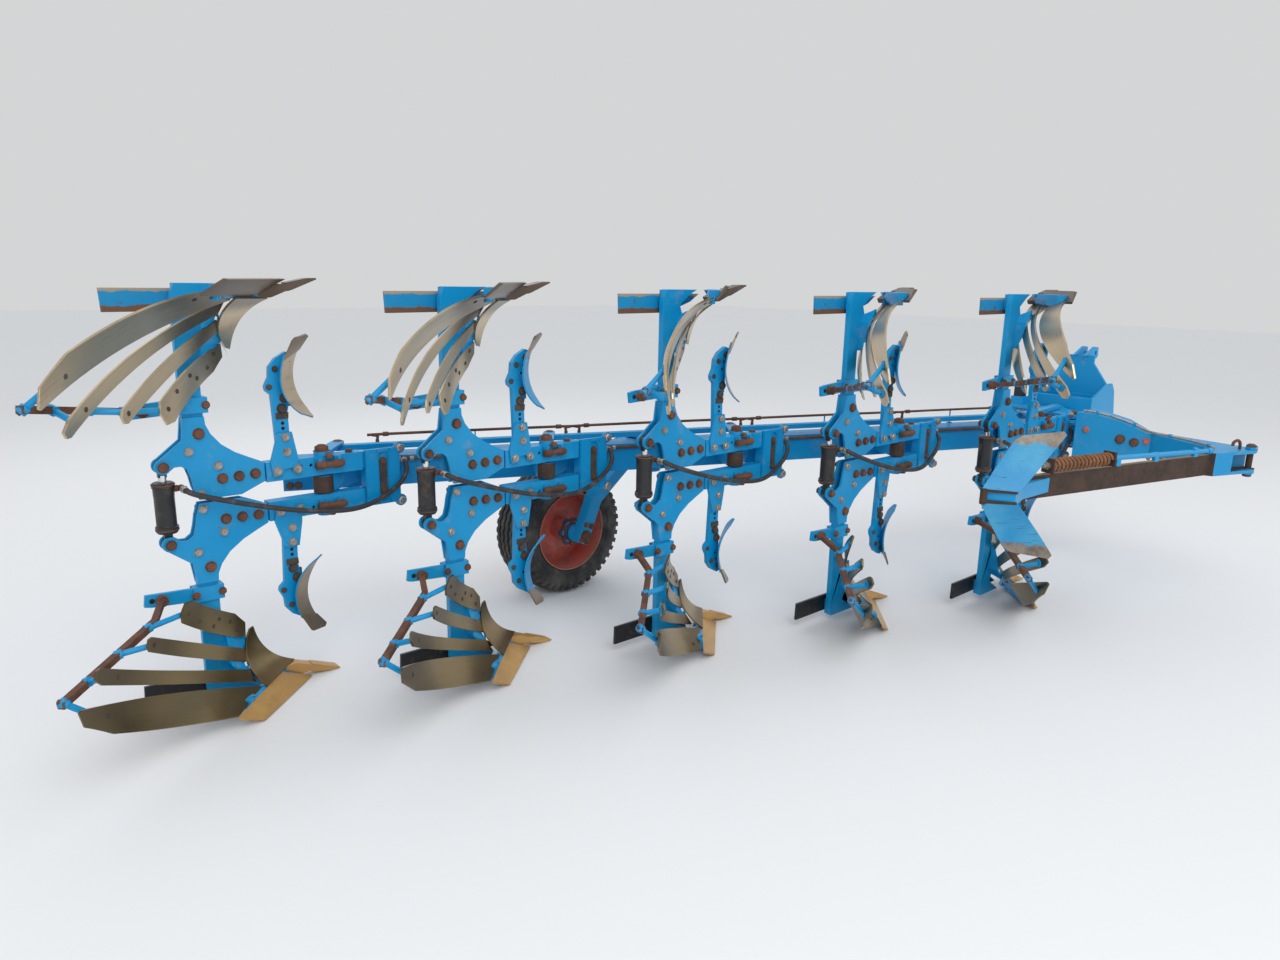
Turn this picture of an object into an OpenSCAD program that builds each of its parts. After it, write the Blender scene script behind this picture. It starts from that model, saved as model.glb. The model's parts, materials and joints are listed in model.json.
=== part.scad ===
// Five-furrow reversible mouldboard plough, mounted, with variable working width.
// Millimetres. +X is the direction of travel, +Y is left and +Z is up.
// The upper bodies mirror the lower ones about the height of the main beam.

/* [Layout] */
// Distance from one body pair to the next, along the beam
body_pitch = 1000; // [950:10:1100]
// Angle of the main beam to the direction of travel
beam_angle = 21; // [19:0.5:23]
// Height of the beam's middle above the ground
beam_height = 872; // [862:2:890]

/* [Main beam] */
// Height and width of the square beam
beam_size = 140; // [120:5:145]
// Wall of the beam
beam_wall = 10; // [8:1:14]
// Distance from the line of the body pairs to the middle of the beam
beam_offset = 430; // [420:5:450]

/* [Side plates and legs] */
// Thickness of one side plate
plate_t = 12; // [10:1:14]
// Thickness of a leg, which is the gap between two side plates
leg_t = 30; // [26:1:36]
// Width of a leg, seen from the side
leg_w = 78; // [70:2:90]
// Height of the trip cylinder's pins above and below the beam's middle
ear_z = 155; // [150:1:160]
// Radius of the pins of the trip cylinder
ear_pin_r = 13; // [11:1:15]

/* [Carrier arms] */
// Height of an arm
arm_h = 82; // [76:2:86]
// Width of an arm
arm_w = 58; // [52:2:62]
// Wall of an arm
arm_wall = 7; // [5:1:9]
// Half of the gap between the two arms
arm_gap = 43; // [42:1:48]
// Radius of the swivel pin
swivel_r = 20; // [18:1:22]

/* [Running clearances] */
// Radial clearance of a pin in its hole
run = 0.08; // [0.05:0.01:0.1]
// Gap between two faces that turn past each other
face_gap = 6; // [5:0.5:8]

/* [Mouldboards and shares] */
// Thickness of a mouldboard strip
strip_t = 9; // [7:1:11]
// Thickness of the share blade
blade_t = 12; // [10:1:14]
// Thickness of the landside
landside_t = 14; // [10:1:16]

/* [Skimmers] */
// Width of a skimmer's stalk
stalk_w = 56; // [48:2:60]
// Thickness of a skimmer's stalk
stalk_t = 24; // [20:1:28]

/* [Trip cylinder] */
// Outer radius of the trip cylinder
trip_r = 38; // [34:1:42]

/* [Depth wheel] */
// Outer radius of the tyre
tyre_r = 360; // [350:1:362]
// Width of the tyre
tyre_w = 270; // [240:5:280]
// Radius of the rim's flange
rim_r = 218; // [205:1:225]
// Radius of the wheel's stub axle
axle_r = 25; // [22:1:28]
// Distance from the wheel's pivot back to its axle, as it parks
wheel_reach = 214; // [205:1:225]

/* [Turnover] */
// Sideways distance from the front body pair to the turnover shaft
turnover_y = 300; // [290:5:320]
// Radius of the turnover shaft
shaft_r = 60; // [50:2:65]
// Wall of the bearing tube around the shaft
bearing_wall = 32; // [25:1:38]
// Radius of the crank that the turnover cylinder drives
crank_r = 140; // [130:2:146]

/* [Three-point hitch] */
// Radius of a lower link pin
link_pin_r = 18.3; // [14:0.1:18.3]
// Distance between the shoulders of the lower link pins
link_span = 965; // [825:5:965]
// Length of a lower link pin
link_pin_l = 85; // [80:1:95]
// Radius of the top link hole
top_hole_r = 16; // [12.7:0.1:16]
// Height of the top link hole above the lower link pins
mast_height = 650; // [610:5:685]

/* [Hidden] */
pairs = 5;
$fn = 48;

paint = "#2f9fd6";
steel = "#a08a5c";
rust = "#6b4a38";
black = "#1d1d1f";

// Distance from the origin back to the rear body pair, and across to it
origin_x = 2386;
origin_y = -1011;

// The middle of the gap between the side plates
mid_y = plate_t + leg_t / 2;
// The swivel pin of a carrier, in the frame of its body pair
swivel = [420, mid_y + 1];
// The pivot of the main beam on the turn frame, in the frame of the front pair
pivot_x = 1010;
pivot_y = (beam_offset - pivot_x * sin(beam_angle)) / cos(beam_angle);
front_s = (pairs - 1) * body_pitch;
beam_half = beam_size / 2;
arm_mid = arm_gap + arm_h / 2;
ground = -beam_height;
// The bodies are drawn for this height of the beam, and their legs take up the rest
drawn_height = 872;
body_drop = drawn_height - beam_height;

// From the swivel pin of a carrier to its pin on the control rod
lever = [150, 180];
control_z = [100, 126];

function unit(v) = v / norm(v);
function along(p, t) = (1 - t) * (1 - t) * p[0] + 2 * t * (1 - t) * p[1] + t * t * p[2];
function mirror_z(p) = [p[0], p[1], -p[2]];

// The frame of body pair k, counted from the rear
module at_pair(k) {
    translate([(k - 1) * body_pitch * cos(beam_angle), -(k - 1) * body_pitch * sin(beam_angle), 0]) children();
}

// The frame of the beam: X runs along it from the rear pair, Y to its left
module beam_frame() {
    rotate([0, 0, -beam_angle]) children();
}

// The whole plough moved so that its origin is on the ground under its middle
module placed() {
    translate([-origin_x, -origin_y, beam_height]) children();
}

// A plate in the X-Z plane, from y0 to y0 + t
module side_on(y0, t) {
    translate([0, y0 + t, 0]) rotate([90, 0, 0]) linear_extrude(t) children();
}

// A round bar along Y, from y0 to y1
module cross_bar(x, z, y0, y1, r) {
    translate([x, y1, z]) rotate([90, 0, 0]) cylinder(r = r, h = y1 - y0);
}

// The lower shape and its mirror image above the beam
module both_sides() {
    children();
    mirror([0, 0, 1]) children();
}

// A curved strip between two edges, each a list of three control points from front to rear.
// It fills the space between the two depths behind the face that the edges span.
module strip(low, high, from, to, n = 6) {
    steps = [for (i = [0:n]) i / n];
    lows = [for (s = steps) along(low, s)];
    highs = [for (s = steps) along(high, s)];
    backs = [for (i = [0:n])
        let (ahead = i < n ? lows[i + 1] - lows[i] : lows[i] - lows[i - 1])
        unit(cross(ahead, highs[i] - lows[i]))];
    points = [for (i = [0:n]) each [
        lows[i] + from * backs[i], highs[i] + from * backs[i],
        highs[i] + to * backs[i], lows[i] + to * backs[i]]];
    sides = [for (i = [0:n - 1]) for (j = [0:3])
        let (a = 4 * i + j, b = 4 * i + (j + 1) % 4, c = a + 4, d = b + 4)
        each [[a, d, b], [a, c, d]]];
    last = 4 * n;
    ends = [[0, 2, 3], [0, 1, 2], [last, last + 2, last + 1], [last, last + 3, last + 2]];
    polyhedron(points = points, faces = concat(sides, ends), convexity = 4);
}

// The outline of an upper side plate, with the ear that holds the trip cylinder
module side_plate_outline() {
    union() {
        polygon([
            [-92, 8], [70, 8], [166, 50], [166, 128], [124, 148], [62, 180], [6, 222], [-30, 268], [-46, 306],
            [-48, 338], [-126, 338], [-138, 250], [-234, 174], [-204, ear_z - 30], [-172, 149],
            [-148, 150], [-126, 134], [-116, 100], [-108, 56]
        ]);
        translate([-212, ear_z]) circle(r = 30);
    }
}

module carrier(k) {
    reach = 590;
    inner = 700;
    placed() at_pair(k) color(paint) {
        both_sides() difference() {
            union() {
                // the arm's tube, with its tongue between the side plates
                translate([172, -2, -arm_gap - arm_h]) cube([reach - 172, arm_w, arm_h]);
                translate([-64, plate_t + 0.3, -arm_gap - arm_h + 6]) cube([240, leg_t - 0.6, arm_h - 12]);
                translate([reach - 1, 12, -arm_gap - arm_h + 4]) cube([inner - reach, arm_w - 22, arm_h - 8]);
            }
            translate([200, -2 + arm_wall, -arm_gap - arm_h + arm_wall])
                cube([reach - 260, arm_w - 2 * arm_wall, arm_h - 2 * arm_wall]);
            for (i = [0:4])
                cross_bar(316 + i * 43, -arm_mid - 8, -3, arm_w, 6);
        }
        // the swivel pin with its nuts and shims
        translate([swivel[0], swivel[1], -arm_gap - arm_h - 10]) cylinder(r = swivel_r, h = 2 * (arm_gap + arm_h) + 10);
        translate([swivel[0], swivel[1], -arm_gap - arm_h - 14]) cylinder(r = 32, h = 14);
        // the lever to the control rod
        difference() {
            translate([0, 0, arm_gap + arm_h]) linear_extrude(18)
                hull() {
                    translate(swivel) circle(r = 34, $fn = 32);
                    translate(swivel + lever) circle(r = 28, $fn = 32);
                }
            translate([swivel[0] + 70, swivel[1] + 84, arm_gap + arm_h - 1]) cube([140, 140, 7]);
        }
        translate([swivel[0] + lever[0], swivel[1] + lever[1], control_z[0] - 2]) cylinder(r = 12, h = 34);
        // the front bracket, slotted for its link plate
        difference() {
            union() {
                side_on(-2, 14) {
                    translate([603, -128]) square([165, 256]);
                    for (z = [-123, 123]) translate([769, z]) circle(r = 27);
                }
                translate([603, 11, -100]) cube([14, 39, 200]);
            }
            side_on(-3, 9) hull() {
                translate([688, 90]) circle(r = 22, $fn = 32);
                translate([688, -90]) circle(r = 22, $fn = 32);
            }
        }
    }
}

// The space in front of the lower mouldboard and the share, which the frog is fitted to
module soil_side() {
    deep = -90;
    strip(s1_low, s1_high, deep, strip_t);
    strip(s2_high, s1_low, deep, strip_t);
    strip(s2_low, s2_high, deep, strip_t);
    strip(s3_high, s2_low, deep, strip_t);
    strip(s3_low, s3_high, deep, strip_t);
    strip(s4_high, s3_low, deep, strip_t);
    strip(s4_low, s4_high, deep, strip_t);
    strip(shin_front, shin_rear, deep, strip_t);
    strip(shin_front, shin_rear, -1, strip_t + 0.3);
    share_blade(90);
    share_blade();
    share_point();
}

// How far the frog's cheek stands out to the right of the side plate
cheek = 40;

// The lower frog, which joins the leg to the mouldboard, the share and the landside
module frog() {
    difference() {
        union() {
            side_on(plate_t, leg_t) polygon([
                [-126, -559], [30, -559], [60, -640], [110, -720], [196, -796], [190, -812], [262, -846],
                [60, -848], [-110, -848], [-126, -800]
            ]);
            side_on(plate_t + leg_t - 1, 19) polygon([[-110, -846], [-110, -765], [0, -780], [120, -826], [120, -846]]);
            // the cheek behind the front ends of the strips
            side_on(-cheek, plate_t + cheek) polygon([[-44, -560], [40, -560], [60, -660], [70, -790], [40, -800], [-40, -700]]);
            // the seat of the share
            translate([160, 20, -850]) rotate([0, 0, 226]) cube([300, 50, 60]);
        }
        soil_side();
    }
}

module legs(k) {
    placed() at_pair(k) color(paint) {
        both_sides() {
            for (y = [0, plate_t + leg_t]) mirror([0, 0, 1]) side_on(y, plate_t) side_plate_outline();
            translate([-126, plate_t, -560 + body_drop]) cube([leg_w, leg_t, 350 - body_drop]);
            translate([0, 0, body_drop]) {
                frog();
                // the clamp on the leg, with the lug for the mouldboard's stays
                difference() {
                    translate([-146, 0, -414]) cube([116, plate_t + leg_t + plate_t, 62]);
                    translate([-126, plate_t, -415]) cube([leg_w, leg_t, 64]);
                }
                difference() {
                    side_on(plate_t, 16) polygon([[-146, -354], [-319, -345], [-325, -392], [-300, -398], [-146, -410]]);
                    cross_bar(-263, -374, plate_t - 1, plate_t + 17, 16);
                }
            }
            // the pin in the ears
            cross_bar(-212, -ear_z, -9, 2 * plate_t + leg_t + 9, ear_pin_r);
        }
    }
}

// The lines of the lower mouldboard, in the frame of its pair: front, middle and rear
function bend(front, mid, rear) = [front, 2 * mid - (front + rear) / 2, rear];
s1_low = bend([46, 32, -624], [-105, -58, -532], [-252, -170, -412]);
s1_high = bend([60, 62, -534], [-82, -34, -440], [-212, -172, -325]);
s2_low = bend([27, -15, -708], [-200, -162, -578], [-406, -358, -425]);
s2_high = bend([32, 11, -660], [-192, -154, -518], [-389, -342, -378]);
s3_low = bend([41, -73, -781], [-302, -238, -628], [-606, -557, -418]);
s3_high = bend([22, -46, -731], [-300, -232, -574], [-586, -521, -376]);
s4_low = bend([-96, -262, -812], [-352, -352, -741], [-640, -548, -590]);
s4_high = bend([20, -108, -768], [-330, -262, -648], [-665, -592, -477]);
shin_front = [[246, 70, -786], [108, 66, -739], [86, 68, -590]];
shin_rear = [[60, -112, -790], [-14, -4, -707], [66, 60, -596]];

module mouldboard() {
    strip(s1_low, s1_high, 0, strip_t);
    strip(s2_low, s2_high, 0, strip_t);
    strip(s3_low, s3_high, 0, strip_t);
    strip(s4_low, s4_high, 0, strip_t);
    strip(shin_front, shin_rear, 0, strip_t);
}

// A square bar between two points
module bar(a, b, w) {
    d = b - a;
    translate(a) rotate([0, 0, atan2(d[1], d[0])]) rotate([0, -asin(d[2] / norm(d)), 0])
        translate([0, -w / 2, -w / 2]) cube([norm(d), w, w]);
}

module tube(a, b, r) {
    d = b - a;
    translate(a) rotate([0, 0, atan2(d[1], d[0])]) rotate([0, 90 - asin(d[2] / norm(d)), 0])
        cylinder(r = r, h = norm(d));
}

// A point on the back of a strip, at a share of its length and of its width
function on_back(low, high, s, v) =
    let (ahead = along(low, s + 0.02) - along(low, s - 0.02), up = along(high, s) - along(low, s))
    along(low, s) + v * up + (strip_t - 1) * unit(cross(ahead, up));

// The bar behind the strips, and the stays from places along it to the strips
bar_far = [-700, -505, -482];
bar_near = [-330, -150, -400];
stay_ends = [
    [0.08, on_back(s1_low, s1_high, 0.9, 0.5)], [0.42, on_back(s2_low, s2_high, 0.93, 0.5)],
    [0.74, on_back(s3_low, s3_high, 0.93, 0.45)], [0.97, on_back(s4_low, s4_high, 0.9, 0.62)]
];

module mouldboards(k) {
    placed() at_pair(k) {
        color(steel) both_sides() translate([0, 0, body_drop]) mouldboard();
        color(rust) both_sides() translate([0, 0, body_drop]) {
            bar(bar_far, bar_near, 26);
            bar(bar_near, [-266, -4, -376], 24);
            cross_bar(-263, -374, -16, plate_t, 22);
        }
        color(paint) both_sides() translate([0, 0, body_drop]) for (s = stay_ends)
            tube((1 - s[0]) * bar_near + s[0] * bar_far, s[1], 11);
    }
}

// The lower share's blade, raised by a height for the fitting of the frog
module share_blade(raised = 0) {
    edge_in = [313, 17, -866];
    edge_out = [0, -271, -866];
    rear_out = [-107, -297, -806];
    rear_in = [168, -12, -798];
    up = [0, 0, raised];
    polyhedron(
        points = [edge_in + up, edge_out + up, rear_out + up, rear_in + up,
            edge_in + [-14, 12, -4], edge_out + [-14, 12, -4],
            rear_out + [0, 0, -blade_t], rear_in + [0, 0, -blade_t]],
        faces = [[0, 1, 2], [0, 2, 3], [4, 6, 5], [4, 7, 6], [1, 0, 4], [1, 4, 5], [2, 1, 5], [2, 5, 6],
            [3, 2, 6], [3, 6, 7], [0, 3, 7], [0, 7, 4]]);
}

module share_point() {
    side_on(18, 60) polygon([
        [204, -790], [250, -793], [440, -866], [440, -872], [400, -871], [268, -848], [262, -846], [190, -812]
    ]);
}

module shares(k) {
    placed() at_pair(k) color("#c09a58") both_sides() translate([0, 0, body_drop]) {
        share_blade();
        share_point();
    }
}

module landsides(k) {
    placed() at_pair(k) color("#20304a") both_sides() translate([0, 0, body_drop])
        side_on(plate_t + leg_t + 18.3, landside_t) polygon([[-350, -828], [-346, -740], [-60, -742], [90, -790], [150, -828]]);
}

// The stalk of a skimmer, and the two edges of its blade from the share to the wing
stalk_x = 224;
blade_far = [[352, 20, -594], [269, 25, -445], [384, 5, -312]];
blade_near = [[262, -50, -562], [192, -50, -380], [362, -60, -296]];

module skimmers(k) {
    placed() at_pair(k) color(paint) both_sides() {
        side_on(-14, 12) polygon([
            [188, -128], [196, -62], [232, -62], [244, -92], [304, -96], [302, -140], [284, -246], [224, -246]
        ]);
        side_on(-2, stalk_t) polygon([
            [stalk_x, -arm_gap - arm_h], [stalk_x + stalk_w, -arm_gap - arm_h], [stalk_x + stalk_w - 4, -330],
            [288, -385], [288, -434], [294, -480], [303, -530], [314, -566], [284, -577], [238, -550], [212, -517],
            [208, -474], [192, -448], [193, -420], [213, -402], [stalk_x - 8, -330]
        ]);
        strip(blade_far, blade_near, -7, 0, 7);
        // its own share
        strip([[344, 20, -584], [372, 20, -620], [396, 20, -652]], [[254, -49, -550], [280, -50, -596], [298, -50, -634]], -8, 0.6, 2);
    }
}

module trip_cylinder(k) {
    placed() at_pair(k) color(black) translate([-212, mid_y, 0]) {
        translate([0, 0, -104]) cylinder(r = trip_r, h = 196);
        translate([0, 0, -112]) cylinder(r = trip_r + 4, h = 22);
        translate([0, 0, 90]) cylinder(r = 16, h = 30);
        for (s = [-1, 1]) difference() {
            union() {
                cross_bar(0, s * ear_z, -13, 13, 24);
                translate([-16, -13, s > 0 ? 110 : -ear_z]) cube([32, 26, ear_z - 110]);
            }
            cross_bar(0, s * ear_z, -20, 20, ear_pin_r + run);
        }
        // the port at the front
        translate([trip_r - 6, 0, 62]) rotate([0, 90, 0]) cylinder(r = 13, h = 34);
        translate([trip_r + 26, -46, 62]) rotate([-90, 0, 0]) cylinder(r = 13, h = 58);
    }
}

// A round tube swept along a route
module swept(route, r, sides = 8) {
    n = len(route) - 1;
    ways = [for (i = [0:n]) unit(route[min(i + 1, n)] - route[max(i - 1, 0)])];
    points = [for (i = [0:n])
        let (w = ways[i], a = unit(cross(w, abs(w[1]) > 0.9 ? [0, 0, 1] : [0, 1, 0])), b = cross(w, a))
        for (j = [0:sides - 1]) route[i] + r * (cos(360 * j / sides) * a + sin(360 * j / sides) * b)];
    walls = [for (i = [0:n - 1]) for (j = [0:sides - 1])
        let (a = i * sides + j, b = i * sides + (j + 1) % sides)
        each [[a, b, b + sides], [a, b + sides, a + sides]]];
    caps = [[for (j = [sides - 1:-1:0]) j], [for (j = [0:sides - 1]) n * sides + j]];
    polyhedron(points = points, faces = concat(walls, caps), convexity = 6);
}

// The route of a trip hose, from the cylinder's port to the line on the beam
hose_end = [812, 46, 54];
hose_route = [
    [-148, -19, 62], [-148, -42, 62], [-128, -58, 50], [-80, -62, 30], [0, -62, 2], [90, -62, -28], [190, -62, -58],
    [290, -62, -84], [390, -62, -102], [480, -62, -112], [560, -56, -110], [640, -42, -94], [710, -28, -66],
    [762, -22, -32], [790, -16, 6], [800, 0, 36],
    hose_end - 22 * [sin(beam_angle), cos(beam_angle), 0], hose_end
];

module trip_hose(k) {
    placed() at_pair(k) color("#26262a") swept(hose_route, 11);
}

// A lug for a swivel pin on the right side of the beam, at the pair's place along it
module swivel_lug(s0) {
    ps = swivel[0] * cos(beam_angle) - swivel[1] * sin(beam_angle);
    pt = swivel[0] * sin(beam_angle) + swivel[1] * cos(beam_angle);
    z = arm_gap - face_gap + 1;
    face = beam_offset - beam_half;
    translate([s0, 0, -z]) difference() {
        linear_extrude(2 * z) {
            translate([ps, pt]) circle(r = 42);
            polygon([[ps - 42, pt], [ps - 20, face + 1], [ps + 170, face + 1], [ps + 42, pt]]);
        }
        translate([ps, pt, -1]) cylinder(r = swivel_r + run, h = 2 * z + 2);
    }
}

module main_beam() {
    rear = 215;
    front = front_s + pivot_x * cos(beam_angle) - pivot_y * sin(beam_angle) + 75;
    pivot_s = front - 75;
    width_s = front_s + width_eye[0] * cos(beam_angle) - width_eye[1] * sin(beam_angle);
    width_t = width_eye[0] * sin(beam_angle) + width_eye[1] * cos(beam_angle);
    catch_s = front_s + catch_at[0] * cos(beam_angle) - catch_at[1] * sin(beam_angle);
    catch_t = catch_at[0] * sin(beam_angle) + catch_at[1] * cos(beam_angle);
    wheel_s = body_pitch + wheel_pin[0] * cos(beam_angle) - wheel_pin[1] * sin(beam_angle);
    placed() color(paint) beam_frame() {
        difference() {
            union() {
                translate([rear, beam_offset - beam_half, -beam_half]) cube([front - rear, beam_size, beam_size]);
                for (k = [1:pairs]) swivel_lug((k - 1) * body_pitch);
                // the lug of the width cylinder
                translate([width_s - 45, beam_offset + beam_half - 1, -44]) cube([90, width_t - beam_offset - beam_half + 1, 88]);
                translate([width_s, width_t, -44]) cylinder(r = 34, h = 88);
                // the lug of the packer arm and its pin
                translate([catch_s, catch_t, -40]) linear_extrude(80) {
                    circle(r = 40);
                    polygon([[-40, 0], [-60, beam_offset - beam_half + 1 - catch_t],
                        [60, beam_offset - beam_half + 1 - catch_t], [40, 0]]);
                }
                translate([catch_s, catch_t, -78]) cylinder(r = 20, h = 156);
            }
            translate([rear + beam_wall, beam_offset - beam_half + beam_wall, -beam_half + beam_wall])
                cube([pivot_s - 110 - rear, beam_size - 2 * beam_wall, beam_size - 2 * beam_wall]);
            translate([pivot_s, beam_offset, -beam_half - 1]) cylinder(r = 30 + run, h = beam_size + 2);
            translate([width_s - 60, width_t - 36, -26]) cube([120, 80, 52]);
            translate([wheel_s, beam_offset, -beam_half - 1]) cylinder(r = 22 + run, h = beam_size + 2);
        }
        translate([width_s, width_t, -52]) cylinder(r = 15, h = 104);
    }
}

module beam_lines() {
    face = beam_offset - beam_half;
    tee_s = hose_end[0] * cos(beam_angle) - hose_end[1] * sin(beam_angle);
    tee_t = hose_end[0] * sin(beam_angle) + hose_end[1] * cos(beam_angle);
    placed() color(rust) beam_frame() {
        for (k = [1:pairs]) translate([(k - 1) * body_pitch + tee_s, 0, hose_end[2]]) {
            translate([0, face, 0]) rotate([90, 0, 0]) cylinder(r = 14, h = face - tee_t - 0.4);
            if (k < pairs) translate([13, face - 9, 0]) rotate([0, 90, 0]) cylinder(r = 8, h = body_pitch - 26);
        }
    }
}

// Pins of the control rod, in the frame of the beam
lever_s = (swivel[0] + lever[0]) * cos(beam_angle) - (swivel[1] + lever[1]) * sin(beam_angle);
lever_t = (swivel[0] + lever[0]) * sin(beam_angle) + (swivel[1] + lever[1]) * cos(beam_angle);
last_s = front_s + (pivot_x + lever[0]) * cos(beam_angle) - (pivot_y + lever[1]) * sin(beam_angle);
last_t = (pivot_x + lever[0]) * sin(beam_angle) + (pivot_y + lever[1]) * cos(beam_angle);

module control_rod() {
    bend_s = front_s + lever_s + 60;
    placed() color(paint) beam_frame() difference() {
        translate([0, 0, control_z[0]]) linear_extrude(control_z[1] - control_z[0]) {
            translate([lever_s, lever_t - 22]) square([bend_s - lever_s, 44]);
            translate([lever_s, lever_t]) circle(r = 26);
            polygon([[bend_s - 40, lever_t - 22], [bend_s, lever_t - 22], [last_s + 16, last_t - 16],
                [last_s - 16, last_t + 16], [bend_s - 40, lever_t + 22]]);
            translate([last_s, last_t]) circle(r = 26);
        }
        for (k = [1:pairs])
            translate([lever_s + (k - 1) * body_pitch, lever_t, 90]) cylinder(r = 12 + run, h = 50);
        translate([last_s, last_t, 90]) cylinder(r = 12 + run, h = 50);
    }
}

// Pins of the width cylinder, in the frame of the front pair
width_base = [1165, 420];
width_eye = [620, 380];
width_turn = atan2(width_eye[1] - width_base[1], width_eye[0] - width_base[0]);
width_l = norm(width_eye - width_base);

module width_barrel() {
    placed() at_pair(pairs) color(black) translate([width_base[0], width_base[1], 0]) rotate([0, 0, width_turn])
        difference() {
            union() {
                translate([40, 0, 0]) rotate([0, 90, 0]) cylinder(r = 42, h = 330);
                translate([0, 0, -26]) cylinder(r = 32, h = 52);
                translate([0, -22, -26]) cube([44, 44, 52]);
            }
            translate([0, 0, -30]) cylinder(r = 18 + run, h = 60);
            translate([120, 0, 0]) rotate([0, 90, 0]) cylinder(r = 20 + run, h = 260);
        }
}

module width_rod() {
    placed() at_pair(pairs) color("silver") translate([width_base[0], width_base[1], 0]) rotate([0, 0, width_turn])
        difference() {
            union() {
                translate([180, 0, 0]) rotate([0, 90, 0]) cylinder(r = 20, h = width_l - 180 - 20);
                translate([width_l, 0, -16]) cylinder(r = 30, h = 32);
            }
            translate([width_l, 0, -20]) cylinder(r = 17, h = 40);
        }
}

// Place of the depth wheel, in the frame of the second pair from the rear
wheel_pin = [1100, (beam_offset - 1100 * sin(beam_angle)) / cos(beam_angle)];
wheel_hinge = [1160, 0];
wheel_z = tyre_r - beam_height;
wheel_x = wheel_hinge[0] - wheel_reach;
wheel_arm_l = norm([wheel_reach, wheel_z]);
wheel_y = 635;
hinge_y0 = 178;
hinge_y1 = 330;

module wheel_bracket() {
    placed() at_pair(2) color(paint) {
        translate([wheel_pin[0], wheel_pin[1], -beam_half - 26]) cylinder(r = 22, h = beam_size + 46);
        for (z = [-beam_half - 22, beam_half + 6]) translate([0, 0, z]) linear_extrude(16) {
            translate([wheel_pin[0], wheel_pin[1]]) circle(r = 54);
            polygon([[wheel_pin[0] - 54, wheel_pin[1]], [wheel_pin[0] - 54, hinge_y0 - 20], [1210, hinge_y0 - 20],
                [1210, 130], [wheel_pin[0] + 50, wheel_pin[1] - 10]]);
        }
        translate([wheel_pin[0] - 54, hinge_y0 - 20, -beam_half - 22]) cube([1210 - wheel_pin[0] + 54, 20, beam_size + 44]);
        cross_bar(wheel_hinge[0], 0, hinge_y0, hinge_y1 + 20, 28);
        cross_bar(wheel_hinge[0], 0, hinge_y1 + 3, hinge_y1 + 18, 42);
    }
}

module wheel_arm() {
    arm_dir = atan2(wheel_z, wheel_x - wheel_hinge[0]);
    knee = 0.62 * wheel_arm_l;
    tyre_side = wheel_y - tyre_w / 2;
    placed() at_pair(2) color(paint) translate([wheel_hinge[0], 0, 0]) rotate([0, -arm_dir, 0]) difference() {
        union() {
            cross_bar(0, 0, hinge_y0 + 2, hinge_y1 + 1, 46);
            // the arm, bent outwards to the hub
            translate([0, 0, -35]) linear_extrude(70) polygon([
                [30, hinge_y0 + 20], [30, hinge_y1 - 20], [knee - 60, tyre_side - 40], [wheel_arm_l + 45, tyre_side - 40],
                [wheel_arm_l + 45, tyre_side - 110], [knee, tyre_side - 110]]);
            cross_bar(wheel_arm_l, 0, tyre_side - 40, tyre_side - 10, 48);
            cross_bar(wheel_arm_l, 0, tyre_side - 10, wheel_y + 60, axle_r);
        }
        cross_bar(0, 0, hinge_y0, hinge_y1 + 3, 28 + run);
    }
}

module wheel_rim() {
    half = tyre_w / 2;
    seat = tyre_r - 112;
    placed() at_pair(2) color("#b03a2c") translate([wheel_x, wheel_y, wheel_z]) rotate([90, 0, 0]) rotate_extrude($fn = 96)
        polygon([
            [axle_r + run, -70], [62, -70], [62, -20], [120, -8], [seat - 40, -40], [seat - 34, -half + 34],
            [seat - 34, -half + 22], [rim_r, -half + 10], [rim_r + 6, -half + 10], [rim_r + 6, -half + 18],
            [seat - 24, -half + 30], [seat - 24, half - 30], [rim_r + 6, half - 18], [rim_r + 6, half - 10],
            [rim_r, half - 10], [seat - 34, half - 22], [seat - 34, -28], [120, 6], [62, -6], [62, 120], [axle_r + run, 120]
        ]);
}

module tyre() {
    half = tyre_w / 2;
    seat = tyre_r - 136;
    placed() at_pair(2) color("#2a2a2c") translate([wheel_x, wheel_y, wheel_z]) rotate([90, 0, 0])
        rotate_extrude($fn = 96) polygon([
            [seat, -half + 30], [rim_r + 6, -half + 18], [rim_r + 20, -half + 6], [rim_r + 60, -half],
            [tyre_r - 60, -half + 4], [tyre_r - 22, -half + 22], [tyre_r - 4, -half + 50], [tyre_r, 0],
            [tyre_r - 4, half - 50], [tyre_r - 22, half - 22], [tyre_r - 60, half - 4], [rim_r + 60, half],
            [rim_r + 20, half - 6], [rim_r + 6, half - 18], [seat, half - 30]
        ]);
}

// Place of the headstock's parts, in the frame of the front pair
plate_inner = 190;
plate_outer = 208;
flange_x = max(pivot_x + 240, width_base[0] + 85);
tube_x = [flange_x + 34, flange_x + 354];
crank_x = [tube_x[1] + 21, tube_x[1] + 46];
crank_plane = crank_x[1] + 30;
rear_wall = tube_x[0] + 36;
front_wall = tube_x[1] - 44;
tower_x = tube_x[1] - 16;
link_x = crank_plane + 20;
link_z = -210;
tower_pin_z = 360;
mast_half = 84;
leg_at = [flange_x - 35, 530];

module parking_sleeve_outline() {
    translate(leg_at) square(84, center = true);
}

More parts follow.
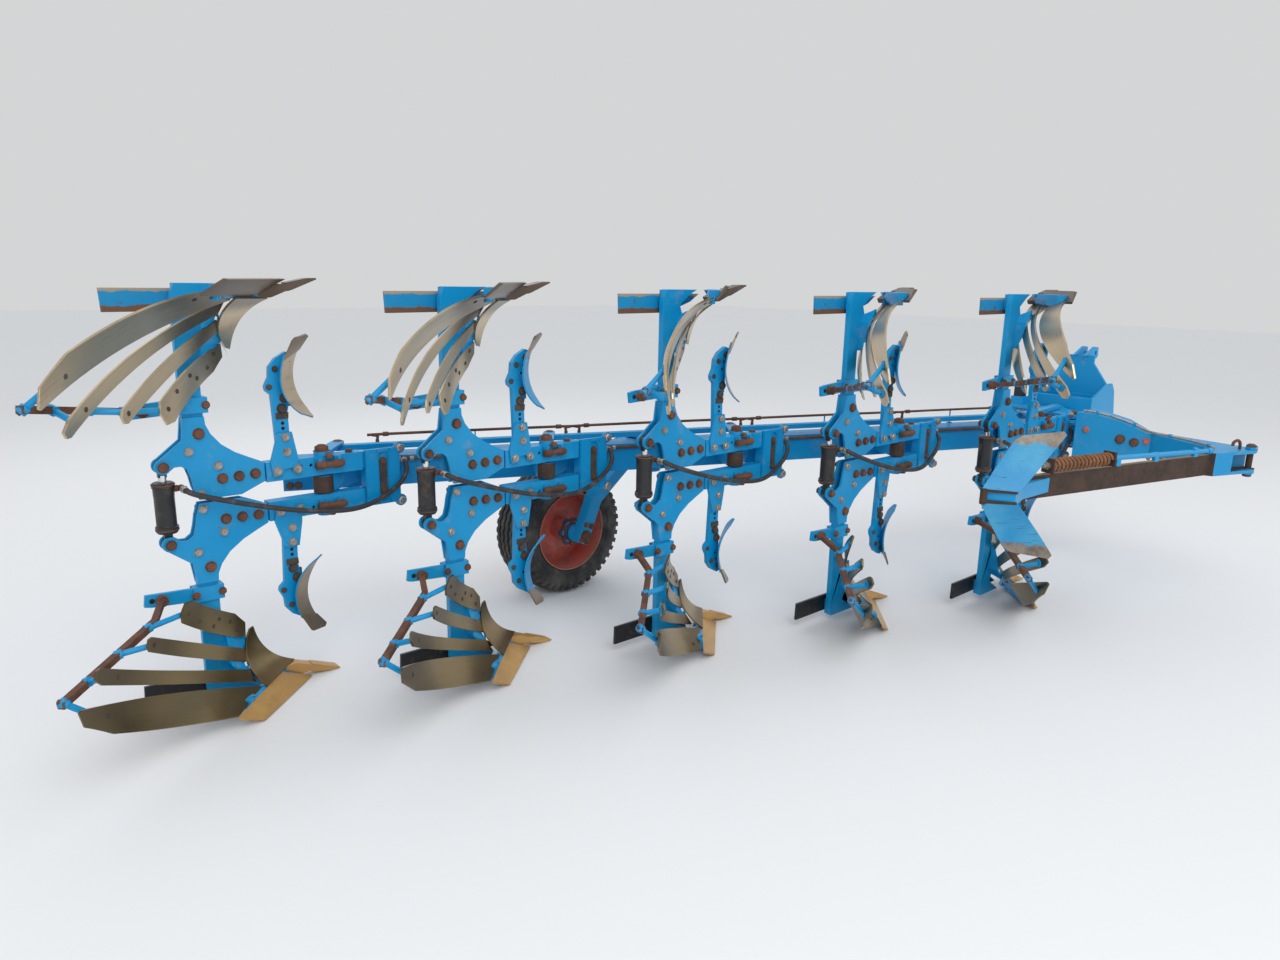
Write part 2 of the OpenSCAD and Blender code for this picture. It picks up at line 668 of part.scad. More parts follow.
module turn_frame() {
    placed() at_pair(pairs) color(paint) {
        difference() {
            union() {
                for (z = [-96, 76]) translate([0, 0, z]) linear_extrude(20) {
                    translate([pivot_x, pivot_y]) circle(r = 82);
                    polygon([[pivot_x - 40, pivot_y + 72], [pivot_x + 10, pivot_y - 81], [flange_x - 10, 195],
                        [flange_x - 10, 400], leg_at + [47, -50], leg_at + [47, 42], leg_at + [-42, 42],
                        width_base + [-45, 20]]);
                }
                // the walls between the plates
                translate([0, 0, -77]) linear_extrude(154) {
                    translate([flange_x, 0]) {
                        polygon([[-126, 92], [-114, 78], [-24, 180], [-24, 205]]);
                        translate([-24, 190]) square([26, 220]);
                        polygon([[-24, 395], [2, 400], [-60, 489], [-77, 489]]);
                    }
                }
                translate([0, 0, -150]) linear_extrude(300) parking_sleeve_outline();
                // the width cylinder's pin and its collars
                translate([width_base[0], width_base[1], 27]) cylinder(r = 32, h = 60);
                translate([width_base[0], width_base[1], -87]) cylinder(r = 32, h = 60);
                translate([width_base[0], width_base[1], -110]) cylinder(r = 18, h = 220);
                // the pivot of the beam
                translate([pivot_x, pivot_y, -116]) cylinder(r = 30, h = 232);
                // the flange and the turnover shaft
                translate([flange_x, turnover_y, 0]) rotate([0, 90, 0]) cylinder(r = 112, h = 32);
                translate([flange_x + 30, turnover_y, 0]) rotate([0, 90, 0]) cylinder(r = shaft_r, h = crank_x[1] - flange_x - 30);
                translate([tube_x[1] + 2, turnover_y, 0]) rotate([0, 90, 0]) cylinder(r = shaft_r + 22, h = 20);
                // the crank
                translate([crank_x[0], turnover_y, 0]) rotate([90, 0, 90]) linear_extrude(crank_x[1] - crank_x[0]) {
                    circle(r = shaft_r + 18);
                    polygon([[0, shaft_r + 14], [-crank_r, 36], [-crank_r, -36], [0, -shaft_r - 14]]);
                    translate([-crank_r, 0]) circle(r = 36);
                }
                // the control rod's pin
                translate([pivot_x + lever[0], pivot_y + lever[1], 90]) cylinder(r = 12, h = 42);
            }
            translate([leg_at[0] - 30.2, leg_at[1] - 30.2, -160]) cube([60.4, 60.4, 320]);
        }
    }
}

module turnover_cylinder() {
    l = norm([crank_r, tower_pin_z]);
    lean = atan2(crank_r, tower_pin_z);
    placed() at_pair(pairs) color(black) translate([crank_plane, turnover_y, tower_pin_z]) rotate([-lean, 0, 0]) difference() {
        union() {
            translate([0, 0, -250]) cylinder(r = 42, h = 206);
            translate([0, 0, -l + 20]) cylinder(r = 22, h = l - 250);
            translate([-16, 0, 0]) rotate([0, 90, 0]) cylinder(r = 32, h = 32);
            translate([-16, -22, -46]) cube([32, 44, 40]);
            translate([-15, 0, -l]) rotate([0, 90, 0]) cylinder(r = 30, h = 30);
            translate([crank_x[1] + 1.5 - crank_plane, 0, -l]) rotate([0, 90, 0]) cylinder(r = 18, h = 50);
        }
        translate([-20, 0, 0]) rotate([0, 90, 0]) cylinder(r = 22 + run, h = 40);
    }
}

module headstock() {
    top = link_z + mast_height;
    placed() at_pair(pairs) color(paint) difference() {
        union() {
            // the bearing of the turnover shaft
            translate([tube_x[0], turnover_y, 0]) rotate([0, 90, 0]) cylinder(r = shaft_r + bearing_wall, h = tube_x[1] - tube_x[0]);
            for (x = [rear_wall, front_wall]) translate([x, turnover_y - plate_inner, -170]) cube([20, 2 * plate_inner, 340]);
            // the side plates of the tower
            for (y = [turnover_y - plate_outer, turnover_y + plate_inner]) side_on(y, plate_outer - plate_inner) polygon([
                [rear_wall, -170], [link_x - 80, link_z - 50], [link_x + 40, link_z - 50], [link_x + 48, link_z + 60],
                [link_x + 16, 60], [link_x - 20, 196], [link_x - 64, 250], [front_wall, 250], [rear_wall + 20, 170],
                [rear_wall, 170]
            ]);
            // the upper wall, narrower towards the mast
            translate([tower_x, turnover_y, 0]) rotate([90, 0, 90]) linear_extrude(20) polygon([
                [-plate_inner - 1, 150], [plate_inner + 1, 150], [plate_inner + 1, 236], [mast_half, tower_pin_z + 20],
                [mast_half, tower_pin_z + 70], [-mast_half, tower_pin_z + 70], [-mast_half, tower_pin_z + 20],
                [-plate_inner - 1, 236]
            ]);
            for (y = [turnover_y - 46, turnover_y + 26]) side_on(y, 20) polygon([
                [tower_x + 20, tower_pin_z + 40], [tower_x + 20, tower_pin_z + 68], [tower_x - 48, tower_pin_z + 70],
                [tower_x + 2, top + 10], [link_x - 20, top + 46], [link_x + 40, top + 40], [link_x + 46, top - 20],
                [link_x + 20, tower_pin_z + 42]
            ]);
            // the turnover cylinder's pin
            translate([tower_x + 19, turnover_y, tower_pin_z]) rotate([0, 90, 0]) {
                cylinder(r = 34, h = crank_plane - 36 - tower_x);
                cylinder(r = 22, h = crank_plane + 5 - tower_x);
            }
        }
        translate([flange_x - 50, turnover_y, 0]) rotate([0, 90, 0]) cylinder(r = shaft_r + run, h = 600);
        translate([link_x, turnover_y - 60, top]) rotate([-90, 0, 0]) cylinder(r = top_hole_r, h = 120);
        cross_bar(link_x, link_z, turnover_y - 300, turnover_y + 300, 27.6);
    }
}

module cross_shaft() {
    placed() at_pair(pairs) color(steel) {
        cross_bar(link_x, link_z, turnover_y - link_span / 2, turnover_y + link_span / 2, 27.5);
        cross_bar(link_x, link_z, turnover_y - link_span / 2 - link_pin_l, turnover_y + link_span / 2 + link_pin_l, link_pin_r);
        for (s = [-1, 1]) {
            cross_bar(link_x, link_z, turnover_y + (s > 0 ? plate_outer : -plate_outer - 20),
                turnover_y + (s > 0 ? plate_outer + 20 : -plate_outer), 40);
            cross_bar(link_x, link_z, turnover_y + s * (link_span / 2 - 6) - 6, turnover_y + s * (link_span / 2 - 6) + 6, 38);
        }
    }
}

module parking_leg() {
    placed() at_pair(pairs) color("#3a3f46") {
        translate([leg_at[0] - 30, leg_at[1] - 30, ground + 12]) cube([60, 60, beam_height + 218]);
        translate([leg_at[0] - 80, leg_at[1] - 80, ground]) cube([160, 160, 12]);
    }
}

// The pivot of the packer arm, in the frame of the front pair
catch_at = [880, -5];

// The frame of the packer arm's guide bar: X runs back along it
bar_a = [467, -867];
bar_b = [-895, -505];
bar_l = norm(bar_b - bar_a);

// Half of the height of the packer arm at its outer end
fork_z = 62;

module bar_frame() {
    translate([bar_a[0], bar_a[1], 0]) rotate([0, 0, atan2(bar_b[1] - bar_a[1], bar_b[0] - bar_a[0])]) children();
}

module packer_arm() {
    placed() at_pair(pairs) color(paint) {
        difference() {
            union() {
                // the tongues on the pivot
                for (z = [-66, 46]) translate([0, 0, z]) linear_extrude(20) {
                    translate(catch_at) circle(r = 38);
                    polygon([[catch_at[0] - 38, catch_at[1]], [catch_at[0] - 60, -80], [catch_at[0] + 44, -80], [catch_at[0] + 38, catch_at[1]]]);
                }
                // the outrigger, high at its root
                intersection() {
                    translate([0, 0, -160]) linear_extrude(320) polygon([
                        [705, -66], [930, -70], [945, -300], [930, -445], [800, -990], [735, -1000], [455, -890], [440, -850],
                        [640, -780], [851, -445]
                    ]);
                    translate([1300, 0, 0]) rotate([0, -90, 0]) linear_extrude(1000) polygon([
                        [-156, -40], [-150, -150], [-118, -290], [2 - fork_z, -420], [-fork_z, -1100], [fork_z, -1100], [fork_z - 2, -420],
                        [118, -290], [150, -150], [156, -40]
                    ]);
                }
            }
            translate([catch_at[0], catch_at[1], -100]) cylinder(r = 20 + run, h = 200);
            // the open end between the two plates of the catch
            translate([0, 0, 18 - fork_z]) linear_extrude(2 * (fork_z - 18)) polygon([
                [526, -880], [590, -855], [690, -880], [860, -960], [900, -1080], [700, -1080]
            ]);
        }
        // the pin of the catch
        translate([758, -968, -fork_z - 16]) cylinder(r = 16, h = 2 * fork_z + 32);
        // the guide bar with the seats of the spring
        color(rust) bar_frame() {
            translate([0, -6, -57]) cube([bar_l, 12, 114]);
            for (x = [816, 1245]) translate([x, -33, 57]) cube([12, 66, 70]);
        }
        color(paint) bar_frame() tube([20, 0, 72], [816, 0, 92], 12);
    }
}

module guide_plates() {
    outline = [[-1194, -464, -28], [-1105, -589, -24], [-903, -629, -195], [-904, -688, -292], [-1046, -527, -258]];
    back = [14, 4, 12];
    n = len(outline);
    placed() at_pair(pairs) color(paint) {
        both_sides() polyhedron(
            points = concat(outline, [for (p = outline) p + back]),
            faces = concat(
                [for (i = [1:n - 2]) [0, i, i + 1]],
                [for (i = [1:n - 2]) [n, n + i + 1, n + i]],
                [for (i = [0:n - 1]) each [[i, n + i, n + (i + 1) % n], [i, n + (i + 1) % n, (i + 1) % n]]]));
        // the web on the end of the guide bar
        bar_frame() translate([0, 0, -34]) linear_extrude(68)
            polygon([[bar_l - 170, 6], [bar_l, 6], [1560, 4], [1706, 34], [1600, 134], [1470, 60]]);
    }
}

module packer_spring() {
    placed() at_pair(pairs) color("#b06a3a") bar_frame() tube([828, 0, 92], [1245, 0, 92], 33);
}

main_beam();
for (k = [1:pairs]) {
    carrier(k);
    legs(k);
    shares(k);
    landsides(k);
    mouldboards(k);
    skimmers(k);
    trip_cylinder(k);
    trip_hose(k);
}
beam_lines();
control_rod();
width_barrel();
width_rod();
wheel_bracket();
wheel_arm();
wheel_rim();
tyre();
turn_frame();
turnover_cylinder();
headstock();
cross_shaft();
packer_arm();
guide_plates();
packer_spring();
parking_leg();
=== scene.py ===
"""Looks of the reversible mouldboard plough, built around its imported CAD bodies."""

import json
import math

import bmesh
import bpy
from mathutils import Matrix, Vector
from mathutils.kdtree import KDTree


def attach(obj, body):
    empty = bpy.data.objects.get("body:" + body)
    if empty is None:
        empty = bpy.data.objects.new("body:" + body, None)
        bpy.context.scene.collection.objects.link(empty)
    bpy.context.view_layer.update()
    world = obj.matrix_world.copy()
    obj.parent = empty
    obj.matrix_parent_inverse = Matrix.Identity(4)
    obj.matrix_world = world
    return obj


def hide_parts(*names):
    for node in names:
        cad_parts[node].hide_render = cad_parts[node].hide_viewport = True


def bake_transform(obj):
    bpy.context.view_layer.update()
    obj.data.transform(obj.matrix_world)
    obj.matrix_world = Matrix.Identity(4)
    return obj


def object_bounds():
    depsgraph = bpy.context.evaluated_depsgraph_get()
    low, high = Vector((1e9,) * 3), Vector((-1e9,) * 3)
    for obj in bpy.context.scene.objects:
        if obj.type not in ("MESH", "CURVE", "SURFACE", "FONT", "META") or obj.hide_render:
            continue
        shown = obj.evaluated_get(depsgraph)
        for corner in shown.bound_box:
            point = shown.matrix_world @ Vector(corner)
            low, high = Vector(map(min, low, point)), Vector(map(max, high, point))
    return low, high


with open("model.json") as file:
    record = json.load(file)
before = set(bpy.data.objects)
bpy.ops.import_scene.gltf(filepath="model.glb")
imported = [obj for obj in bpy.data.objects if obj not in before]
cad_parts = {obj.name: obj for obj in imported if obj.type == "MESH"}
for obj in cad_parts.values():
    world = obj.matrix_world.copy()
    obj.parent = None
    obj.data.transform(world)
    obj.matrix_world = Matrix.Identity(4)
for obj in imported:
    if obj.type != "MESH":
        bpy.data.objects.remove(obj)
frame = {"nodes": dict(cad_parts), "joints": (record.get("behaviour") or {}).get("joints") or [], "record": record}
cad_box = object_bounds()

MM = 0.001
PAIRS = 5
BEAM_ANGLE = math.radians(21)
BODY_PITCH = 1000
SWIVEL = Vector((420, 28, 0))


def joint_place(name):
    """Where the record puts a joint, in the row frame, in metres."""
    found = [j for j in frame["joints"] if j["name"] == name]
    return Vector(found[0]["pos_m"])


REAR_PAIR = joint_place("pair_1_swivel") - SWIVEL * MM


def at_pair(k, point):
    """A point in millimetres in the frame of body pair k, as metres in the row frame."""
    step = (k - 1) * BODY_PITCH
    shift = Vector((step * math.cos(BEAM_ANGLE), -step * math.sin(BEAM_ANGLE), 0))
    return REAR_PAIR + (Vector(point) + shift) * MM


# Camera, at the place that the photograph was taken from

CAMERA_PLACE = (-1077, -3689, 904)
CAMERA_YAW = math.radians(47.93)
CAMERA_PITCH = math.radians(12.93)
CAMERA_ROLL = math.radians(-1.09)
LENS = 24.96
SENSOR_WIDTH = 36
FARTHEST = 200


def make_camera():
    forward = Vector((
        math.cos(CAMERA_YAW) * math.cos(CAMERA_PITCH),
        math.sin(CAMERA_YAW) * math.cos(CAMERA_PITCH),
        -math.sin(CAMERA_PITCH),
    ))
    level = Vector((math.sin(CAMERA_YAW), -math.cos(CAMERA_YAW), 0))
    down = forward.cross(level)
    right = math.cos(CAMERA_ROLL) * level + math.sin(CAMERA_ROLL) * down
    below = -math.sin(CAMERA_ROLL) * level + math.cos(CAMERA_ROLL) * down
    turn = Matrix((right, -below, -forward)).transposed().to_4x4()
    data = bpy.data.cameras.new("camera")
    data.lens = LENS
    data.sensor_width = SENSOR_WIDTH
    data.clip_end = FARTHEST
    camera = bpy.data.objects.new("camera", data)
    camera.matrix_world = Matrix.Translation(at_pair(1, CAMERA_PLACE)) @ turn
    bpy.context.scene.collection.objects.link(camera)
    bpy.context.scene.camera = camera


make_camera()
bpy.context.scene.view_settings.view_transform = "Standard"


# Materials


def in_use(sockets, name):
    """The socket of this name that the node's data type uses."""
    return [s for s in sockets if s.name == name and s.enabled][0]


class Tree:
    """A short way to add and join nodes."""

    def __init__(self, tree):
        self.tree = tree

    def add(self, kind, inputs=None, **settings):
        node = self.tree.nodes.new(kind)
        for key, value in settings.items():
            setattr(node, key, value)
        for key, value in (inputs or {}).items():
            self.put(node.inputs[key] if isinstance(key, int) else in_use(node.inputs, key), value)
        return node

    def put(self, socket, value):
        """Sets a socket to a value, or joins it to another socket; a colour is given without its alpha."""
        if isinstance(value, bpy.types.NodeSocket):
            self.tree.links.new(value, socket)
        else:
            socket.default_value = (*value, 1.0) if socket.type == "RGBA" else value

    def math(self, kind, a, b):
        return self.add("ShaderNodeMath", {0: a, 1: b}, operation=kind).outputs[0]

    def times(self, a, b):
        return self.math("MULTIPLY", a, b)

    def plus(self, a, b):
        return self.math("ADD", a, b)


class Nodes(Tree):
    """The nodes of one material."""

    def __init__(self, name):
        self.material = bpy.data.materials.new(name)
        self.material.use_nodes = True
        super().__init__(self.material.node_tree)
        self.shader = self.tree.nodes["Principled BSDF"]
        self.place = self.add("ShaderNodeTexCoord").outputs["Object"]

    def noise(self, scale, detail=3.0, rough=0.55, stretch=(1, 1, 1)):
        place = self.place
        if stretch != (1, 1, 1):
            place = self.add("ShaderNodeMapping", {"Vector": place, "Scale": stretch}).outputs[0]
        sizes = {"Vector": place, "Scale": scale, "Detail": detail, "Roughness": rough}
        return self.add("ShaderNodeTexNoise", sizes).outputs["Fac"]

    def ramp(self, value, low, high, smooth=True):
        """A value's way from the low limit to the high one, as 0 to 1."""
        limits = {"Value": value, "From Min": low, "From Max": high}
        kind = "SMOOTHSTEP" if smooth else "LINEAR"
        return self.add("ShaderNodeMapRange", limits, interpolation_type=kind).outputs["Result"]

    def patches(self, low, high, *noise):
        """Soft patches: where the noise is over the high limit, fading out to the low one."""
        return self.ramp(self.noise(*noise), low, high)

    def shaken(self, value, noise, reach):
        """A value moved up and down by the noise."""
        return self.plus(value, self.times(self.math("SUBTRACT", noise, 0.5), reach))

    def up(self):
        """The height of a point, in metres."""
        return self.add("ShaderNodeSeparateXYZ", {"Vector": self.place}).outputs["Z"]

    def mix(self, factor, a, b):
        return self.add("ShaderNodeMix", {"Factor": factor, 6: a, 7: b}, data_type="RGBA").outputs[2]

    def colour(self, value):
        self.put(self.shader.inputs["Base Color"], value)

    def surface(self, roughness, metallic=0.0):
        self.put(self.shader.inputs["Roughness"], roughness)
        self.put(self.shader.inputs["Metallic"], metallic)

    def bump(self, height, strength, distance):
        sizes = {"Height": height, "Strength": strength, "Distance": distance}
        self.put(self.shader.inputs["Normal"], self.add("ShaderNodeBump", sizes).outputs[0])


RUST = (0.16, 0.065, 0.03)
DUST = (0.33, 0.29, 0.24)


def make_blue_paint(name, base, chips, dusty):
    """Bright machine paint with faded patches, dust and rusty chips."""
    m = Nodes(name)
    faded = (base[0] * 1.5 + 0.012, base[1] * 1.1, base[2] * 1.04)
    paint = m.mix(m.patches(0.35, 0.7, 2.2, 4), base, faded)
    grime = m.patches(0.56, 0.76, 9, 6, 0.7)
    paint = m.mix(m.times(grime, dusty), paint, DUST)
    streak = m.patches(0.6, 0.78, 14, 5, 0.65, (1, 1, 0.12))
    paint = m.mix(m.times(streak, dusty * 0.8), paint, (0.13, 0.085, 0.06))
    chipped = m.ramp(m.noise(38, 5, 0.7), chips, chips + 0.03, False)
    m.colour(m.mix(chipped, paint, RUST))
    m.surface(m.plus(m.times(chipped, 0.4), m.plus(m.times(grime, 0.2), 0.36)))
    m.bump(m.math("SUBTRACT", m.noise(120, 3), m.times(chipped, 0.6)), 0.18, 0.002)
    m.put(m.shader.inputs["Specular IOR Level"], 0.3)
    return m.material


def make_worn_steel(name, bright, dark, stain, metallic, upper_painted_light=None):
    """Steel ground smooth by soil, with tarnish and a film of rust; the upper bodies may get a colour of their
    own, painted light: a painted reflection where it is paler, painted shade where it is darker.
    """
    m = Nodes(name)
    streaks = m.noise(7, 6, 0.6, (0.5, 0.8, 3.4))
    clouds = m.noise(2.6, 5, 0.6)
    base = m.mix(m.ramp(clouds, 0.35, 0.68), dark, bright)
    # Painted light: the same steel gets another colour on the upper bodies, for the reflections and shade that
    # fall there.
    if upper_painted_light:
        stained_upper_light = (upper_painted_light[0] * 0.86, upper_painted_light[1] * 0.8, upper_painted_light[2] * 0.7)
        base = m.mix(m.ramp(m.up(), 0.7, 1.3), base, m.mix(m.ramp(clouds, 0.4, 0.7), upper_painted_light, stained_upper_light))
    base = m.mix(m.times(m.ramp(streaks, 0.52, 0.74), 0.4), base, stain)
    spots = m.patches(0.66, 0.72, 60, 6, 0.75)
    m.colour(m.mix(m.times(spots, 0.5), base, RUST))
    m.surface(m.plus(m.times(streaks, 0.2), m.plus(m.times(spots, 0.3), 0.24)), metallic)
    m.bump(m.noise(170, 4, 0.6, (0.3, 0.5, 2)), 0.08, 0.001)
    return m.material


def make_strip_steel(name):
    """Strips brushed along their length, with painted reflection and shade: bright and dark bands along each
    strip, darker towards the share and paler on the upper bodies.
    """
    m = Nodes(name)
    grain = m.add("ShaderNodeAttribute", attribute_name="grain").outputs["Vector"]
    lines = m.add("ShaderNodeMapping", {"Vector": grain, "Scale": (2.5, 26, 1)}).outputs[0]
    sizes = {"Vector": lines, "Scale": 1.0, "Detail": 6.0, "Roughness": 0.6}
    brushed = m.add("ShaderNodeTexNoise", sizes).outputs["Fac"]
    along_strip = m.add("ShaderNodeSeparateXYZ", {"Vector": grain}).outputs["X"]
    reach = m.shaken(along_strip, m.noise(2.4, 5, 0.6), 0.35)
    # Painted reflection and shade: bright and dark bands along each strip, and a paler colour on the upper bodies.
    lower_painted_light = m.mix(m.ramp(reach, 0.1, 0.3), (0.17, 0.115, 0.05), (0.34, 0.25, 0.125))
    lower_painted_light = m.mix(m.ramp(reach, 0.4, 0.85), lower_painted_light, (0.135, 0.10, 0.05))
    upper_painted_light = m.mix(m.ramp(reach, 0.12, 0.42), (0.17, 0.135, 0.09), (0.60, 0.48, 0.32))
    steel = m.mix(m.ramp(m.up(), 0.75, 1.25), lower_painted_light, upper_painted_light)
    steel = m.mix(m.times(m.ramp(brushed, 0.48, 0.72), 0.32), steel, (0.13, 0.095, 0.06))
    m.colour(m.mix(m.times(m.patches(0.67, 0.72, 60, 6, 0.75), 0.4), steel, RUST))
    m.surface(m.plus(m.times(brushed, 0.22), 0.2), 0.9)
    m.bump(brushed, 0.12, 0.001)
    return m.material


def make_landside(name):
    """On the upper bodies blue with a rusty lower band and a bare top edge; on the lower ones black, a painted
    shade with patches of dirt.
    """
    m = Nodes(name)
    up = m.up()
    edge = m.shaken(up, m.noise(16, 5, 0.7), 0.03)
    blue = m.mix(m.patches(0.6, 0.66, 24, 6, 0.7), (0.004, 0.25, 0.52), (0.10, 0.06, 0.04))
    blue = m.mix(m.ramp(edge, 1.633, 1.638, False), (0.15, 0.075, 0.04), blue)
    blue = m.mix(m.ramp(edge, 1.687, 1.690, False), blue, (0.36, 0.29, 0.21))
    # Painted shade: the lower bodies' landsides are black, with patches of dirt.
    lower_painted_shade = m.mix(m.patches(0.52, 0.7, 20, 6, 0.7), (0.012, 0.012, 0.014), (0.07, 0.055, 0.045))
    m.colour(m.mix(m.ramp(up, 0.8, 0.9, False), lower_painted_shade, blue))
    m.surface(0.42, 0.1)
    m.bump(m.noise(110, 5, 0.7), 0.2, 0.0015)
    return m.material


def make_scraped_paint(name):
    """Blue plates that the packer scrapes: scratched, and bare towards their upper and lower ends."""
    m = Nodes(name)
    away = m.math("ABSOLUTE", m.math("SUBTRACT", m.up(), 0.872), 0.0)
    bare = m.ramp(m.shaken(away, m.noise(11, 6, 0.75), 0.09), 0.218, 0.232, False)
    scratches = m.patches(0.6, 0.66, 26, 6, 0.7, (0.35, 0.35, 5))
    blue = m.mix(m.patches(0.4, 0.7, 5, 4), (0.006, 0.25, 0.52), (0.05, 0.33, 0.55))
    blue = m.mix(m.times(scratches, 0.9), blue, (0.05, 0.045, 0.045))
    metal = m.mix(m.patches(0.4, 0.68, 14, 6, 0.7), (0.30, 0.26, 0.22), (0.16, 0.12, 0.09))
    m.colour(m.mix(bare, blue, metal))
    m.surface(m.plus(m.times(scratches, 0.2), 0.4), m.times(bare, 0.6))
    m.bump(m.noise(90, 5, 0.7, (0.4, 0.4, 3)), 0.25, 0.0015)
    return m.material


def make_rust(name, light, dark):
    m = Nodes(name)
    rust = m.mix(m.patches(0.35, 0.65, 11, 6, 0.7), dark, light)
    m.colour(m.mix(m.patches(0.5, 0.75, 60, 5, 0.7), rust, (0.09, 0.05, 0.035)))
    m.surface(0.82, 0.15)
    m.bump(m.noise(140, 6, 0.7), 0.5, 0.0015)
    return m.material


def make_plain(name, base, dirt, share, patch, grain, bump, rough, rougher=0.0, metallic=0.0):
    """A plain finish under patches of dirt, which may be rougher; base may be a pair of colours."""
    m = Nodes(name)
    grime = m.patches(*patch)
    if isinstance(base[0], tuple):
        base = m.mix(m.patches(0.4, 0.7, 3, 3), *base)
    m.colour(m.mix(m.times(grime, share), base, dirt))
    m.surface(m.plus(m.times(grime, rougher), rough) if rougher else rough, metallic)
    m.bump(m.noise(*grain), *bump)
    return m.material


def make_black_paint(name):
    return make_plain(name, (0.016, 0.016, 0.018), (0.12, 0.085, 0.06), 0.75, (0.5, 0.75, 13, 6, 0.7),
                      (90, 4), (0.15, 0.002), 0.38, 0.3)


def make_chrome(name):
    m = Nodes(name)
    m.colour(m.mix(m.patches(0.5, 0.8, 20, 4), (0.72, 0.73, 0.75), (0.4, 0.39, 0.37)))
    m.surface(0.18, 1.0)
    return m.material


LOOKS = {
    "blue_paint": make_blue_paint("blue_paint_weathered", (0.001, 0.265, 0.56), 0.672, 0.4),
    # The share steel's last colour is painted shade: darker shares on the upper bodies.
    "worn_share_steel": make_worn_steel("share_steel_tan", (0.62, 0.36, 0.11), (0.45, 0.25, 0.08),
                                        (0.25, 0.14, 0.06), 0.4, (0.12, 0.092, 0.07)),
    "worn_mouldboard_steel": make_strip_steel("mouldboard_steel_brushed"),
    "dark_blue_steel": make_landside("landside_worn"),
    "black_paint": make_black_paint("cylinder_black"),
    "hose_rubber": make_plain("hose_rubber_dusty", (0.03, 0.03, 0.033), (0.17, 0.16, 0.15), 0.5,
                              (0.48, 0.72, 26, 6, 0.7), (220, 3), (0.2, 0.001), 0.55),
    "rusty_steel": make_rust("rusty_steel_brown", (0.19, 0.08, 0.045), (0.09, 0.045, 0.03)),
    "chromed_rod": make_chrome("rod_chrome"),
    "red_paint": make_plain("rim_red", ((0.60, 0.12, 0.085), (0.50, 0.15, 0.12)), (0.16, 0.11, 0.085), 0.55,
                            (0.45, 0.7, 12, 6, 0.7), (80, 4), (0.2, 0.002), 0.5),
    "tyre_rubber": make_plain("tyre_dusty", (0.022, 0.022, 0.023), (0.14, 0.12, 0.10), 0.7,
                              (0.4, 0.72, 7, 6, 0.7), (130, 5, 0.7), (0.3, 0.002), 0.72),
    "grey_paint": make_black_paint("stand_grey"),
}
BLUE, RUSTY, BLACK = LOOKS["blue_paint"], LOOKS["rusty_steel"], LOOKS["black_paint"]
CHROME, RUBBER = LOOKS["chromed_rod"], LOOKS["tyre_rubber"]
ZINC = make_plain("zinc_dull", (0.40, 0.38, 0.35), (0.20, 0.12, 0.08), 0.7, (0.5, 0.72, 40, 5, 0.7),
                  (150, 4), (0.2, 0.001), 0.35, 0.3, 0.75)
DARK_STEEL = make_rust("bolt_dark", (0.10, 0.07, 0.05), (0.05, 0.04, 0.035))
HOLE_DARK = make_rust("hole_shadow", (0.012, 0.011, 0.01), (0.006, 0.006, 0.006))
BAR_RUST = make_rust("bar_brown", (0.075, 0.042, 0.028), (0.04, 0.026, 0.02))
SPRING_RUST = make_rust("spring_orange", (0.36, 0.15, 0.06), (0.22, 0.095, 0.045))
# The last colour is a painted reflection: paler skimmer blades on the upper bodies.
SKIMMER_STEEL = make_worn_steel("skimmer_steel", (0.36, 0.28, 0.19), (0.22, 0.165, 0.11),
                                (0.14, 0.10, 0.065), 0.8, (0.58, 0.50, 0.40))
TIP_STEEL = make_worn_steel("skimmer_tip_worn", (0.26, 0.20, 0.14), (0.16, 0.12, 0.085),
                            (0.11, 0.07, 0.045), 0.6)
RIM_EDGE = make_rust("rim_edge_tan", (0.33, 0.22, 0.13), (0.25, 0.13, 0.08))
HUB_BLUE = make_blue_paint("hub_blue_grey", (0.008, 0.07, 0.16), 0.63, 0.7)
SCRAPED = make_scraped_paint("guide_plate_scraped")
NODE_SLOT = {s["node"]: s["material_slot"] for s in frame["record"]["subparts"]}

for node_name, node in frame["nodes"].items():
    node.data.materials.clear()
    node.data.materials.append(LOOKS[NODE_SLOT[node_name]])


# Building blocks for meshes, in millimetres in the frame of a body pair


def circle(centre, radius, side, other, count):
    """Points round a centre, in the plane of two directions."""
    turns = [math.tau * j / count for j in range(count)]
    return [centre + radius * (math.cos(turn) * side + math.sin(turn) * other) for turn in turns]


